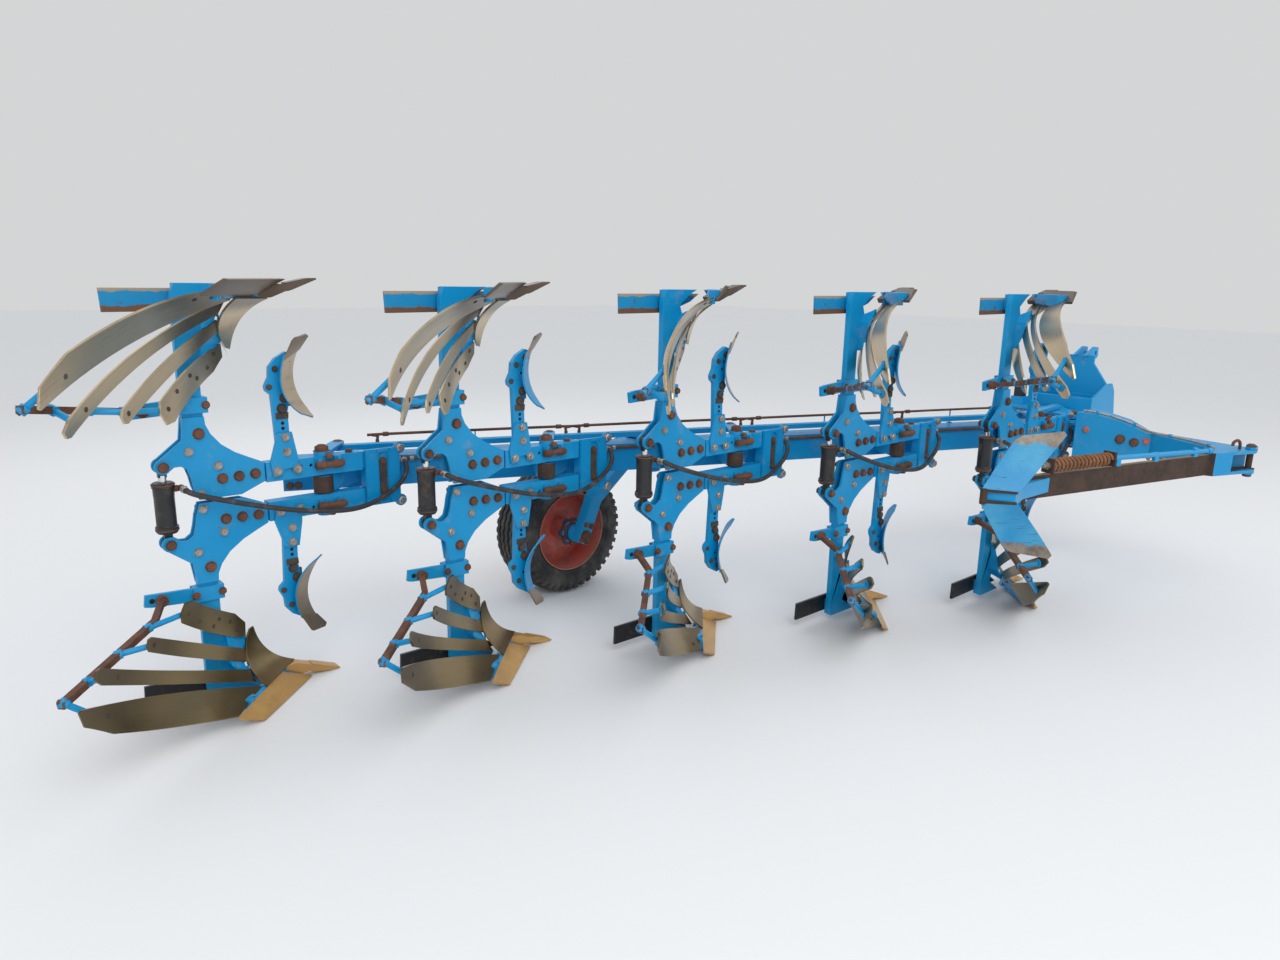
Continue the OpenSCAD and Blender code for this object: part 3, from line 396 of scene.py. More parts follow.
class Solid:
    """Collects closed shapes in one mesh; each shape gets the material of the given number."""

    def __init__(self):
        self.mesh = bmesh.new()
        self.grain = self.mesh.verts.layers.float_vector.new("grain")

    def faces(self, points, faces, finish=0, grain=None):
        made = [self.mesh.verts.new(p) for p in points]
        for vertex, value in zip(made, grain or ()):
            vertex[self.grain] = value
        for face in faces:
            self.mesh.faces.new([made[i] for i in face]).material_index = finish

    def skin(self, points, sides, finish=0, closed=False):
        """Joins rings of points, with a cap at both ends or the last ring joined to the first."""
        total = len(points)
        end = total if closed else total - sides
        faces = []
        for a in range(0, end, sides):
            b = (a + sides) % total
            for j in range(sides):
                k = (j + 1) % sides
                faces.append((a + j, a + k, b + k, b + j))
        if not closed:
            faces += [tuple(range(sides - 1, -1, -1)), tuple(range(end, total))]
        self.faces(points, faces, finish)

    def lathe(self, start, end, profile, finish=0, sides=24):
        """A turned shape along the line from start to end; the profile lists distances and radii."""
        start = Vector(start)
        axis = (Vector(end) - start).normalized()
        side = axis.orthogonal().normalized()
        other = axis.cross(side)
        points = []
        for distance, radius in profile:
            points += circle(start + distance * axis, radius, side, other, sides)
        self.skin(points, sides, finish)

    def rod(self, start, end, radius, finish=0, sides=20, chamfer=1.5):
        length = (Vector(end) - Vector(start)).length
        chamfer = min(chamfer, length / 3)
        narrow = radius - chamfer
        profile = [(0, narrow), (chamfer, radius), (length - chamfer, radius), (length, narrow)]
        self.lathe(start, end, profile, finish, sides)

    def pipe(self, route, radius, finish=0, sides=12):
        """A round pipe along a route, with closed ends."""
        route = [Vector(p) for p in route]
        ahead, behind = route[1:] + route[-1:], route[:1] + route[:-1]
        ways = [(b - a).normalized() for a, b in zip(behind, ahead)]
        side = ways[0].orthogonal().normalized()
        points = []
        for place, way in zip(route, ways):
            side = (side - side.dot(way) * way).normalized()
            points += circle(place, radius, side, way.cross(side), sides)
        self.skin(points, sides, finish)

    def prism(self, outline, low, high, place=Matrix.Identity(4), finish=0):
        """An outline in X and Y, given anticlockwise, raised from low to high and then placed."""
        n = len(outline)
        points = [place @ Vector((x, y, z)) for z in (low, high) for x, y in outline]
        faces = [tuple(range(n - 1, -1, -1)), tuple(range(n, 2 * n))]
        faces += [(i, (i + 1) % n, n + (i + 1) % n, n + i) for i in range(n)]
        self.faces(points, faces, finish)

    def block(self, low, high, place=Matrix.Identity(4), finish=0):
        (x0, y0, z0), (x1, y1, z1) = low, high
        self.prism([(x0, y0), (x1, y0), (x1, y1), (x0, y1)], z0, z1, place, finish)

    def add_mirrored(self):
        """Adds the mirror image of everything so far, for the other one of the two bodies."""
        drawn = self.mesh.verts[:] + self.mesh.edges[:] + self.mesh.faces[:]
        made = bmesh.ops.duplicate(self.mesh, geom=drawn)["geom"]
        for item in made:
            if isinstance(item, bmesh.types.BMVert):
                item.co.z = -item.co.z
        bmesh.ops.reverse_faces(self.mesh, faces=[f for f in made if isinstance(f, bmesh.types.BMFace)])

    def to_mesh(self, name, place):
        """The shapes at their place, as a mesh in metres with its faces turned outwards."""
        mesh = bpy.data.meshes.new(name)
        copy = self.mesh.copy()
        copy.transform(place)
        bmesh.ops.recalc_face_normals(copy, faces=copy.faces)
        copy.to_mesh(mesh)
        copy.free()
        return mesh


SHARP_ANGLE = math.radians(32)
EDGE_ANGLE = math.radians(35)
EDGE_SEGMENTS = 2
IN_METRES = Matrix.Scale(MM, 4)


def finish_edges(obj, width):
    """Rounds the sharp edges a little, as cut and welded steel has them."""
    bevel = obj.modifiers.new("worn edges", "BEVEL")
    bevel.width = width * MM
    bevel.segments = EDGE_SEGMENTS
    bevel.limit_method = "ANGLE"
    bevel.angle_limit = EDGE_ANGLE
    bevel.use_clamp_overlap = False
    bevel.harden_normals = True


def show(name, mesh, body, materials, bevel=0, replaces=()):
    """Puts a mesh that is in metres into the scene, on its body."""
    for face in mesh.polygons:
        face.use_smooth = True
    mesh.set_sharp_from_angle(angle=SHARP_ANGLE)
    if not mesh.materials:
        for material in materials:
            mesh.materials.append(material)
    obj = bpy.data.objects.new(name, mesh)
    bpy.context.scene.collection.objects.link(obj)
    if bevel:
        finish_edges(obj, bevel)
    if body:
        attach(obj, body)
    if replaces:
        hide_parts(*replaces)
    return obj


def pair_place(k):
    return Matrix.Translation(at_pair(k, (0, 0, 0))) @ IN_METRES


def show_solid(name, solid, place, body, materials, bevel=0, replaces=()):
    return show(name, solid.to_mesh(name, place), body, materials, bevel, replaces)


# The part of the frog that is cut finely, along X and away from the pair's middle, and the cuts' pitch
FROG_X, FROG_DEPTH, FROG_PITCH = (-60, 280), (560, 850), 11
FROG_MARGIN = 160
# How far behind the shin the frog is set, and what of it counts as standing in front of the shin
SET_BACK, FARTHEST_FRONT, FARTHEST_ASIDE = 1.5, -60, 16
CUT_GAP = 0.000001


def pressed(work, place, surface):
    """Cuts the frog finely and sets back whatever of it stands in front of the shin.

    surface lists points of the shin with the direction to its back, for the lower body.
    """
    home = place.inverted()
    nearest = KDTree(len(surface))
    for number, (point, _) in enumerate(surface):
        nearest.insert(point, number)
    nearest.balance()
    planes = [(Vector((1, 0, 0)), x) for x in range(*FROG_X, FROG_PITCH)]
    planes += [(Vector((0, 0, 1)), sign * z) for sign in (-1, 1) for z in range(*FROG_DEPTH, FROG_PITCH)]
    for axis, distance in planes:
        nearby = FROG_DEPTH[0] - FROG_MARGIN
        faces = [f for f in work.faces if abs((home @ f.calc_center_median()).z) > nearby]
        edges = {e for f in faces for e in f.edges}
        verts = {v for f in faces for v in f.verts}
        normal = (place.to_3x3() @ axis).normalized()
        bmesh.ops.bisect_plane(work, geom=faces + list(edges) + list(verts), dist=CUT_GAP,
                               plane_co=place @ (axis * distance), plane_no=normal)
    for vert in work.verts:
        spot = home @ vert.co
        sign = -1 if spot.z > 0 else 1
        spot.z = -abs(spot.z)
        if spot.z > -FROG_DEPTH[0]:
            continue
        point, back = surface[nearest.find(spot)[1]]
        depth = (spot - point).dot(back)
        aside = (spot - point - depth * back).length
        if aside < FARTHEST_ASIDE and FARTHEST_FRONT < depth < SET_BACK:
            spot += (SET_BACK - depth) * back
            spot.z *= sign
            vert.co = place @ spot


SAME_PLACE = 0.00001
FLAT_ANGLE = math.radians(0.7)


def softened(node, body, materials, bevel, choose=None, place=None, plate=None):
    """A CAD node's own shape with eased edges, in place of the node; choose gives a face its finish."""
    work = bmesh.new()
    work.from_mesh(frame["nodes"][node].data)
    bmesh.ops.remove_doubles(work, verts=work.verts, dist=SAME_PLACE)
    if plate:
        pressed(work, place, plate)
    bmesh.ops.dissolve_limit(work, angle_limit=FLAT_ANGLE, verts=work.verts, edges=work.edges)
    if choose:
        back = place.inverted()
        for face in work.faces:
            face.material_index = choose(back @ face.calc_center_median(), face.normal)
    mesh = bpy.data.meshes.new(node + "_worn")
    work.to_mesh(mesh)
    work.free()
    return show(node + "_worn", mesh, body, materials, bevel, (node,))


# Node trees for what repeats: bolts, and pieces round an axle


def start_tree(name, inputs):
    """A node tree with its inputs, each given by its name, kind and value."""
    tree = bpy.data.node_groups.new(name, "GeometryNodeTree")
    for label, kind, value in inputs:
        socket = tree.interface.new_socket(label, in_out="INPUT", socket_type="NodeSocket" + kind)
        if value is not None:
            socket.default_value = value
    tree.interface.new_socket("Result", in_out="OUTPUT", socket_type="NodeSocketGeometry")
    g = Tree(tree)
    return g, g.add("NodeGroupInput").outputs


def end_tree(g, geometry, finish):
    """Gives what the tree has made its material and hands it out."""
    real = g.add("GeometryNodeRealizeInstances", {0: geometry})
    painted = g.add("GeometryNodeSetMaterial", {"Geometry": real.outputs[0], "Material": finish})
    g.add("NodeGroupOutput", {0: painted.outputs[0]})
    return g.tree


def grown(name, data, tree, values):
    """The mesh that a node tree makes from the given one, with the given values for its inputs."""
    start = bpy.data.objects.new(name + "_start", data)
    bpy.context.scene.collection.objects.link(start)
    modifier = start.modifiers.new(tree.name, "NODES")
    modifier.node_group = tree
    for item in tree.interface.items_tree:
        if item.item_type == "SOCKET" and item.in_out == "INPUT" and item.name in values:
            modifier[item.identifier] = values[item.name]
    graph = bpy.context.evaluated_depsgraph_get()
    mesh = bpy.data.meshes.new_from_object(start.evaluated_get(graph))
    bpy.data.objects.remove(start)
    return mesh


BOLT_SIZES = {"Head Radius": 0.019, "Head Height": 0.013, "Washer Radius": 0.022, "Washer Thickness": 0.003,
              "Thread Radius": 0.010, "Thread Height": 0.011}
HEAD_SIDES, WASHER_SIDES, THREAD_SIDES = 6, 18, 10
# The share of the head's height below its chamfer, and how far each stage narrows towards its top
STRAIGHT, HEAD_TAPER, WASHER_TAPER, THREAD_TAPER = 0.78, 0.82, 0.95, 0.85
TURN_SEED = 7


def bolt_tree():
    """Node tree that sets a bolt on each point, along the point's own direction and at its own size."""
    inputs = [("Places", "Geometry", None)]
    inputs += [(label, "Float", value) for label, value in BOLT_SIZES.items()]
    inputs += [("Head Sides", "Int", HEAD_SIDES), ("Finish", "Material", None)]
    g, sizes = start_tree("bolts", inputs)
    head, height, washer, thick, thread, reach = (sizes[label] for label in BOLT_SIZES)
    count = sizes["Head Sides"]
    join = g.add("GeometryNodeJoinGeometry")

    def stage(radius, top_radius, tall, base, corners):
        """One stage of the bolt, standing on the given height."""
        cone = {"Vertices": corners, "Radius Bottom": radius, "Radius Top": top_radius, "Depth": tall}
        made = g.add("GeometryNodeMeshCone", cone, fill_type="NGON").outputs["Mesh"]
        lift = g.add("ShaderNodeCombineXYZ", {"Z": base}).outputs[0]
        moved = g.add("GeometryNodeTransform", {"Geometry": made, "Translation": lift})
        g.put(join.inputs[0], moved.outputs[0])

    def attribute(name, kind):
        node = g.add("GeometryNodeInputNamedAttribute", {"Name": name}, data_type=kind)
        return in_use(node.outputs, "Attribute")

    straight = g.times(height, STRAIGHT)
    stage(washer, g.times(washer, WASHER_TAPER), thick, 0.0, WASHER_SIDES)
    stage(head, head, straight, thick, count)
    stage(head, g.times(head, HEAD_TAPER), g.times(height, 1 - STRAIGHT), g.plus(thick, straight), count)
    stage(thread, g.times(thread, THREAD_TAPER), reach, 0.0, THREAD_SIDES)
    aim = g.add("FunctionNodeAlignRotationToVector", {"Vector": attribute("aim", "FLOAT_VECTOR")}, axis="Z")
    spin = g.add("FunctionNodeRandomValue", {"Max": 1.0, "Seed": TURN_SEED}, data_type="FLOAT")
    turn = g.add("ShaderNodeCombineXYZ", {"Z": in_use(spin.outputs, "Value")}).outputs[0]
    both_turns = {"Rotation": aim.outputs["Rotation"], "Rotate By": turn}
    rotation = g.add("FunctionNodeRotateRotation", both_turns, rotation_space="LOCAL").outputs["Rotation"]
    points = g.add("GeometryNodeInstanceOnPoints", {
        "Points": sizes["Places"], "Instance": join.outputs[0],
        "Rotation": rotation, "Scale": attribute("bolt_size", "FLOAT"),
    })
    return end_tree(g, points.outputs[0], sizes["Finish"])


def ring_tree():
    """Node tree that repeats a piece round the axle of the wheel, which runs along Y."""
    g, sizes = start_tree("ring", [
        ("Piece", "Geometry", None), ("Count", "Int", 1),
        ("Axle", "Vector", None), ("Finish", "Material", None),
    ])
    line = {"Offset": (0, 0, 0), "Count": sizes["Count"], "Start Location": sizes["Axle"]}
    places = g.add("GeometryNodeMeshLine", line)
    number = g.add("GeometryNodeInputIndex").outputs[0]
    angle = g.times(g.math("DIVIDE", number, sizes["Count"]), math.tau)
    turn = g.add("ShaderNodeCombineXYZ", {"Y": angle}).outputs[0]
    rotation = g.add("FunctionNodeEulerToRotation", {0: turn})
    spread = g.add("GeometryNodeInstanceOnPoints", {
        "Points": places.outputs[0], "Instance": sizes["Piece"], "Rotation": rotation.outputs[0],
    })
    return end_tree(g, spread.outputs[0], sizes["Finish"])


BOLTS = bolt_tree()
RING = ring_tree()


def bolts(name, places, place, body, material=RUSTY, slot="rusty_steel", **sizes):
    """One mesh of bolts; each place is a point, a direction and a relative size."""
    turn = place.to_3x3().normalized()
    data = bpy.data.meshes.new(name)
    data.from_pydata([place @ Vector(p) for p, _, _ in places], [], [])
    aims = data.attributes.new("aim", "FLOAT_VECTOR", "POINT")
    aims.data.foreach_set("vector", [c for _, aim, _ in places for c in turn @ Vector(aim)])
    scales = data.attributes.new("bolt_size", "FLOAT", "POINT")
    scales.data.foreach_set("value", [size for _, _, size in places])
    mesh = grown(name, data, BOLTS, {"Finish": material, **sizes})
    for leftover in ("aim", "bolt_size"):
        if leftover in mesh.attributes:
            mesh.attributes.remove(mesh.attributes[leftover])
    return show(name, mesh, body, [material])


def ring(name, solid, count, axle, body, material):
    """One mesh of a piece, drawn round the origin in millimetres, repeated round an axle in metres."""
    values = {"Count": count, "Axle": tuple(axle), "Finish": material}
    return show(name, grown(name, solid.to_mesh(name, IN_METRES), RING, values), body, [material])


# The working bodies, drawn for the lower body of a pair and mirrored for the upper one


def along(line, t):
    """The point of a curve at a share of its way; the curve is given by its ends and its control point."""
    return (1 - t) ** 2 * line[0] + 2 * t * (1 - t) * line[1] + t * t * line[2]


def bend(front, mid, rear):
    """The curve from the front to the rear point through the middle one."""
    front, mid, rear = Vector(front), Vector(mid), Vector(rear)
    return [front, 2 * mid - (front + rear) / 2, rear]


STRIP_THICKNESS = 9
# The lower and the upper edge of each strip, each by its front, middle and rear point
STRIPS = {
    "top": (bend((46, 32, -624), (-105, -58, -532), (-252, -170, -412)),
            bend((60, 62, -534), (-82, -34, -440), (-212, -172, -325))),
    "second": (bend((27, -15, -708), (-200, -162, -578), (-406, -358, -425)),
               bend((32, 11, -660), (-192, -154, -518), (-389, -342, -378))),
    "third": (bend((41, -73, -781), (-302, -238, -628), (-606, -557, -418)),
              bend((22, -46, -731), (-300, -232, -574), (-586, -521, -376))),
    "bottom": (bend((-94, -266, -814), (-352, -352, -741), (-640, -548, -590)),
               bend((50, -120, -787), (-330, -262, -648), (-665, -592, -477))),
}
SHIN = ([Vector((250, 66, -795)), Vector((108, 66, -739)), Vector((86, 68, -590))],
        [Vector((66, -120, -800)), Vector((-14, -4, -707)), Vector((66, 60, -596))])
WHOLE = (0, 0)
# Corners cut off each strip: at its front low, front high, rear low and rear high end,
# as the share of its length and of its width
CORNERS = {
    "top": ((0.1, 0.12), (0.16, 0.3), (0.06, 0.3), (0.1, 0.22)),
    "second": (WHOLE, WHOLE, (0.03, 0.25), (0.03, 0.2)),
    "third": (WHOLE, WHOLE, (0.05, 0.3), (0.02, 0.2)),
    "bottom": (WHOLE, WHOLE, (0.14, 0.34), (0.02, 0.12)),
}
STEP_ALONG = 0.02


def strip_frame(lines, s, v):
    """A point on the soil side of a strip, and the direction towards its back."""
    low, high = along(lines[0], s), along(lines[1], s)
    ahead = along(lines[0], min(s + STEP_ALONG, 1)) - along(lines[0], max(s - STEP_ALONG, 0))
    back = ahead.cross(high - low).normalized()
    return low + v * (high - low), back


def cut(corner, s):
    """How far a cut corner reaches into the strip's width, at a distance from that end."""
    length, width = corner
    return width * (1 - s / length) if length and s < length else 0.0


def add_strip(solid, lines, corners, finish=0, steps=30, rows=4, depths=(0, STRIP_THICKNESS)):
    """A strip between its two edges, with two skins at the given depths behind its soil side."""
    front_low, front_high, rear_low, rear_high = corners
    stops = {i / steps for i in range(steps + 1)}
    stops |= {c[0] for c in (front_low, front_high)} | {1 - c[0] for c in (rear_low, rear_high)}
    stops = sorted(stops)
    points, grain = [], []
    for s in stops:
        start = max(cut(front_low, s), cut(rear_low, 1 - s))
        end = 1 - max(cut(front_high, s), cut(rear_high, 1 - s))
        for depth in depths:
            for row in range(rows + 1):
                across = start + (end - start) * row / rows
                place, back = strip_frame(lines, s, across)
                points.append(place + depth * back)
                grain.append((s, across, 0))
    wide = rows + 1
    last = (len(stops) - 1) * 2 * wide
    faces = []
    for a in range(0, last, 2 * wide):
        b = a + 2 * wide
        for row in range(rows):
            faces.append((a + row, a + row + 1, b + row + 1, b + row))
            faces.append((a + wide + row, b + wide + row, b + wide + row + 1, a + wide + row + 1))
        faces.append((a, b, b + wide, a + wide))
        faces.append((a + rows, a + wide + rows, b + wide + rows, b + rows))
    end = [*range(wide), *range(wide + rows, rows, -1)]
    faces += [tuple(reversed(end)), tuple(last + i for i in end)]
    solid.faces(points, faces, finish, grain)


BAR_FAR, BAR_NEAR = Vector((-700, -505, -482)), Vector((-330, -150, -400))
# Each stay: its place along the bar, and the strip with the place on it where it ends
STAYS = [(0.08, "top", 0.9, 0.5), (0.42, "second", 0.93, 0.5), (0.74, "third", 0.93, 0.45),
         (0.97, "bottom", 0.9, 0.62)]


def square_bar(solid, start, end, width, finish=0):
    start, end = Vector(start), Vector(end)
    way = (end - start).normalized()
    side = Vector((0, 0, 1)).cross(way).normalized()
    up = way.cross(side)
    place = Matrix.Translation(start) @ Matrix((side, up, way)).transposed().to_4x4()
    half = width / 2
    solid.block((-half, -half, 0), (half, half, (end - start).length), place, finish)


def make_mouldboards():
    """Curved strips with their shin, the bar behind them and its stays: steel, rust and paint."""
    strips, holders = Solid(), Solid()
    for name, lines in STRIPS.items():
        add_strip(strips, lines, CORNERS[name])
    add_strip(strips, SHIN, (WHOLE, WHOLE, WHOLE, (0.12, 0.1)), steps=18)
    strips.add_mirrored()
    square_bar(holders, BAR_FAR, BAR_NEAR, 25, 0)
    square_bar(holders, BAR_NEAR, (-266, -4, -376), 23, 0)
    holders.rod((-263, -16, -374), (-263, 12, -374), 22, 0, 24)
    holders.rod((-263, -22, -374), (-263, -15, -374), 13, 0, 6)
    far = (BAR_FAR - BAR_NEAR).normalized()
    holders.rod(BAR_FAR - 20 * far, BAR_FAR - 5 * far, 15, 1, 20)
    for share, name, s, v in STAYS:
        start = (1 - share) * BAR_NEAR + share * BAR_FAR
        point, back = strip_frame(STRIPS[name], s, v)
        end = point + (STRIP_THICKNESS - 1) * back
        way = (end - start).normalized()
        length = (end - start).length
        holders.lathe(start - 14 * way, end, [
            (0, 15), (2, 17), (26, 17), (28, 11), (length - 12, 11), (length + 8, 11),
        ], 1, 18)
        holders.lathe(point + 16 * back, point + 5 * back, [(0, 17), (2, 19), (9, 19), (11, 17)], 1, 18)
        holders.rod(start - 21 * way, start - 14 * way, 7.5, 0, 6)
    holders.add_mirrored()
    return strips, holders


UPSIDE_DOWN = Matrix.Diagonal((1, 1, -1))
PROUD = 0.2


def soil_bolts(places):
    """Flush bolts on the soil side of the strips, for both bodies."""
    found = []
    for name, s, v in places:
        lines = SHIN if name == "shin" else STRIPS[name]
        point, back = strip_frame(lines, s, v)
        point = point - PROUD * back
        found += [(point, -back, 1.0), (UPSIDE_DOWN @ point, UPSIDE_DOWN @ -back, 1.0)]
    return found


SOIL_BOLTS = [
    ("top", 0.12, 0.3), ("top", 0.24, 0.62), ("top", 0.42, 0.62), ("top", 0.5, 0.28), ("top", 0.72, 0.3),
    ("top", 0.9, 0.45), ("second", 0.94, 0.5), ("third", 0.86, 0.5), ("bottom", 0.86, 0.62),
    ("bottom", 0.03, 0.55), ("bottom", 0.1, 0.3), ("shin", 0.84, 0.5), ("shin", 0.4, 0.82),
]


# Shares and the points in front of them


def add_share(solid):
    """The share's blade, a thin wedge behind its cutting edge."""
    edge_in, edge_out = Vector((313, 17, -866)), Vector((0, -271, -866))
    rear_out, rear_in = Vector((-107, -297, -806)), Vector((168, -12, -798))
    edge_back, rear_down = Vector((-14, 12, -4)), Vector((0, 0, 12))
    low = [edge_in + edge_back, edge_out + edge_back, rear_out - rear_down, rear_in - rear_down]
    solid.faces([edge_in, edge_out, rear_out, rear_in] + low, [
        (0, 2, 1), (0, 3, 2), (4, 5, 6), (4, 6, 7), (1, 4, 0), (1, 5, 4),
        (2, 5, 1), (2, 6, 5), (3, 6, 2), (3, 7, 6), (0, 7, 3), (0, 4, 7),
    ])


def side_plate(solid, outline, y0, y1, finish=0):
    """A plate in the X-Z plane between two distances across."""
    points = [(x, y0, z) for x, z in outline] + [(x, y1, z) for x, z in outline]
    n = len(outline)
    area = sum(a[0] * b[1] - b[0] * a[1] for a, b in zip(outline, outline[1:] + outline[:1]))
    faces = [tuple(range(n)), tuple(range(2 * n - 1, n - 1, -1))]
    faces += [(i, n + i, n + (i + 1) % n, (i + 1) % n) for i in range(n)]
    if area < 0:
        faces = [tuple(reversed(f)) for f in faces]
    solid.faces(points, faces, finish)


# Trip cylinder and its hose

MID_Y = 27
TRIP_X = -212
HOSE_END = Vector((812, 46, 54))
TOWARDS_BEAM = Vector((math.sin(BEAM_ANGLE), math.cos(BEAM_ANGLE), 0))
HOSE_RADIUS = 11
HOSE_ROUTE = [
    (-148, -19, 62), (-148, -42, 62), (-128, -58, 50), (-80, -62, 30), (0, -62, 2), (90, -62, -28),
    (190, -62, -58), (290, -62, -84), (390, -62, -102), (480, -62, -112), (560, -56, -110), (640, -42, -94),
    (710, -28, -66), (762, -22, -32), (790, -16, 6), (800, 0, 36), HOSE_END - 22 * TOWARDS_BEAM, HOSE_END,
]


def make_trip_cylinder():
    """Black barrel with its end caps, the rod eyes and the fitting for the hose."""
    solid = Solid()
    x, y = TRIP_X, MID_Y
    barrel = [(0, 30), (2, 36), (10, 41), (12, 42), (28, 42), (30, 38.5), (34, 37), (150, 37),
              (152, 38), (182, 38), (184, 41), (200, 41), (204, 36), (205, 20)]
    solid.lathe((x, y, -112), (x, y, 100), barrel, 0, 40)
    for z in (-96, 84):
        solid.lathe((x, y, z - 3), (x, y, z + 3), [(0, 41), (1, 43), (5, 43), (6, 41)], 1, 40)
    solid.rod((x, y, 90), (x, y, 122), 15, 3, 24)
    eye = [(0, 21), (2, 24), (24, 24), (26, 21)]
    for z, low, high in ((-155, -150, -110), (155, 112, 150)):
        solid.lathe((x, y - 13, z), (x, y + 13, z), eye, 0, 28)
        solid.block((x - 15, y - 12, low), (x + 15, y + 12, high))
    # the fitting: its nut, its pipe, the elbow towards the hose and the lock nut
    solid.rod((x + 30, y, 62), (x + 50, y, 62), 15, 1, 6)
    solid.rod((x + 44, y, 62), (x + 70, y, 62), 12, 1, 18)
    solid.rod((-148, 30, 62), (-148, -8, 62), 13, 1, 18)
    solid.rod((-148, -2, 62), (-148, -14, 62), 15.5, 2, 6)
    return solid


def smooth_route(points, steps=5):
    """Points on a smooth curve through the given ones."""
    points = [Vector(p) for p in points]
    route = []
    for p0, p1, p2, p3 in zip(points[:1] + points, points, points[1:], points[2:] + points[-1:]):
        bent, twisted = 2 * p0 - 5 * p1 + 4 * p2 - p3, 3 * p1 - p0 - 3 * p2 + p3
        for t in (j / steps for j in range(steps)):
            route.append(0.5 * (2 * p1 + (p2 - p0) * t + bent * t * t + twisted * t ** 3))
    return route + points[-1:]


HOSE_PATH = smooth_route(HOSE_ROUTE)


def make_hose():
    solid = Solid()
    solid.pipe(HOSE_PATH, HOSE_RADIUS, 0, 16)
    return solid


def make_hose_ends():
    """The sleeve at the cylinder's end of a hose, and the sleeve and union nut at the beam's end."""
    near, far = Solid(), Solid()
    sleeve = [(0, 12.5), (1, 14), (14, 14), (15, 13), (20, 13), (21, 11.5)]
    near.lathe(HOSE_PATH[0], HOSE_PATH[4], sleeve, 0, 18)
    last = HOSE_PATH[-1]
    back = (HOSE_PATH[-5] - last).normalized()
    far.rod(last + back, last + 10 * back, 15, 0, 6)
    sleeve = [(0, 13), (2, 14), (12, 14), (14, 12.2), (20, 12.2)]
    far.lathe(last + 9 * back, last + 60 * back, sleeve, 0, 18)
    return near, far


def make_shares():
    """The share's blade and its point in two parts."""
    solid = Solid()
    add_share(solid)
    side_plate(solid, [
        (206, -791), (250, -793), (330, -826), (322, -846), (268, -848), (262, -846), (190, -812),
    ], 18, 78)
    side_plate(solid, [(318, -818), (336, -823), (440, -866), (440, -872), (400, -871), (314, -853)], 19, 77)
    solid.add_mirrored()
    return solid


# Skimmers

BLADE = ([Vector((352, 20, -594)), Vector((269, 25, -445)), Vector((384, 5, -312))],
         [Vector((262, -50, -562)), Vector((192, -50, -380)), Vector((362, -60, -296))])
OWN_SHARE = ([Vector((344, 20, -584)), Vector((372, 20, -620)), Vector((396, 20, -652))],
             [Vector((254, -49, -550)), Vector((280, -50, -596)), Vector((298, -50, -634))])


def make_skimmers():
    """Bracket and stalk in paint, the blade with its worn soil side, and the blade's own share."""
    solid = Solid()
    side_plate(solid, [
        (188, -128), (196, -62), (232, -62), (244, -92), (304, -96), (302, -140), (284, -246), (224, -246),
    ], -14, -2)
    side_plate(solid, [
        (224, -125), (280, -125), (276, -330), (288, -385), (288, -434), (294, -480), (303, -530),
        (314, -566), (284, -577), (238, -550), (212, -517), (208, -474), (196, -452), (190, -438),
        (193, -420), (213, -402), (216, -330),
    ], -2, 22)
    shape = (WHOLE, WHOLE, (0.1, 0.3), (0.16, 0.42))
    add_strip(solid, BLADE, shape, 0, 24, 4, (-7, -1.6))
    add_strip(solid, BLADE, shape, 1, 24, 4, (-1.7, 0))
    add_strip(solid, OWN_SHARE, (WHOLE, WHOLE, (0.2, 0.25), (0.12, 0.1)), 2, 8, 3, (-8, 0.6))
    # the clamp that holds the blade to the stalk
    side_plate(solid, [(226, -302), (276, -302), (278, -328), (226, -328)], -7, -2, 3)
    solid.block((248, 4, -420), (292, 17, -352), finish=3)
    solid.lathe((207, -8, -436), (207, 27, -436), [(0, 9), (2, 12), (33, 12), (35, 9)], 3, 18)
    solid.add_mirrored()
    return solid


STALK_HOLES = [(252, 262, 1.0), (252, 284, 1.0), (252, 306, 0.7), (262, 470, 0.8), (272, 505, 0.8)]
STALK_BOLTS = [(252, 345, 0.95), (266, 388, 0.95), (236, 508, 0.6), (284, 540, 0.7)]


# Details of the carriers

SPOOL_Z = 90
PIN_RADIUS, PIN_HALF = 28, 45
# A face with less than this of its direction along Z counts as upright
UPRIGHT = 0.5


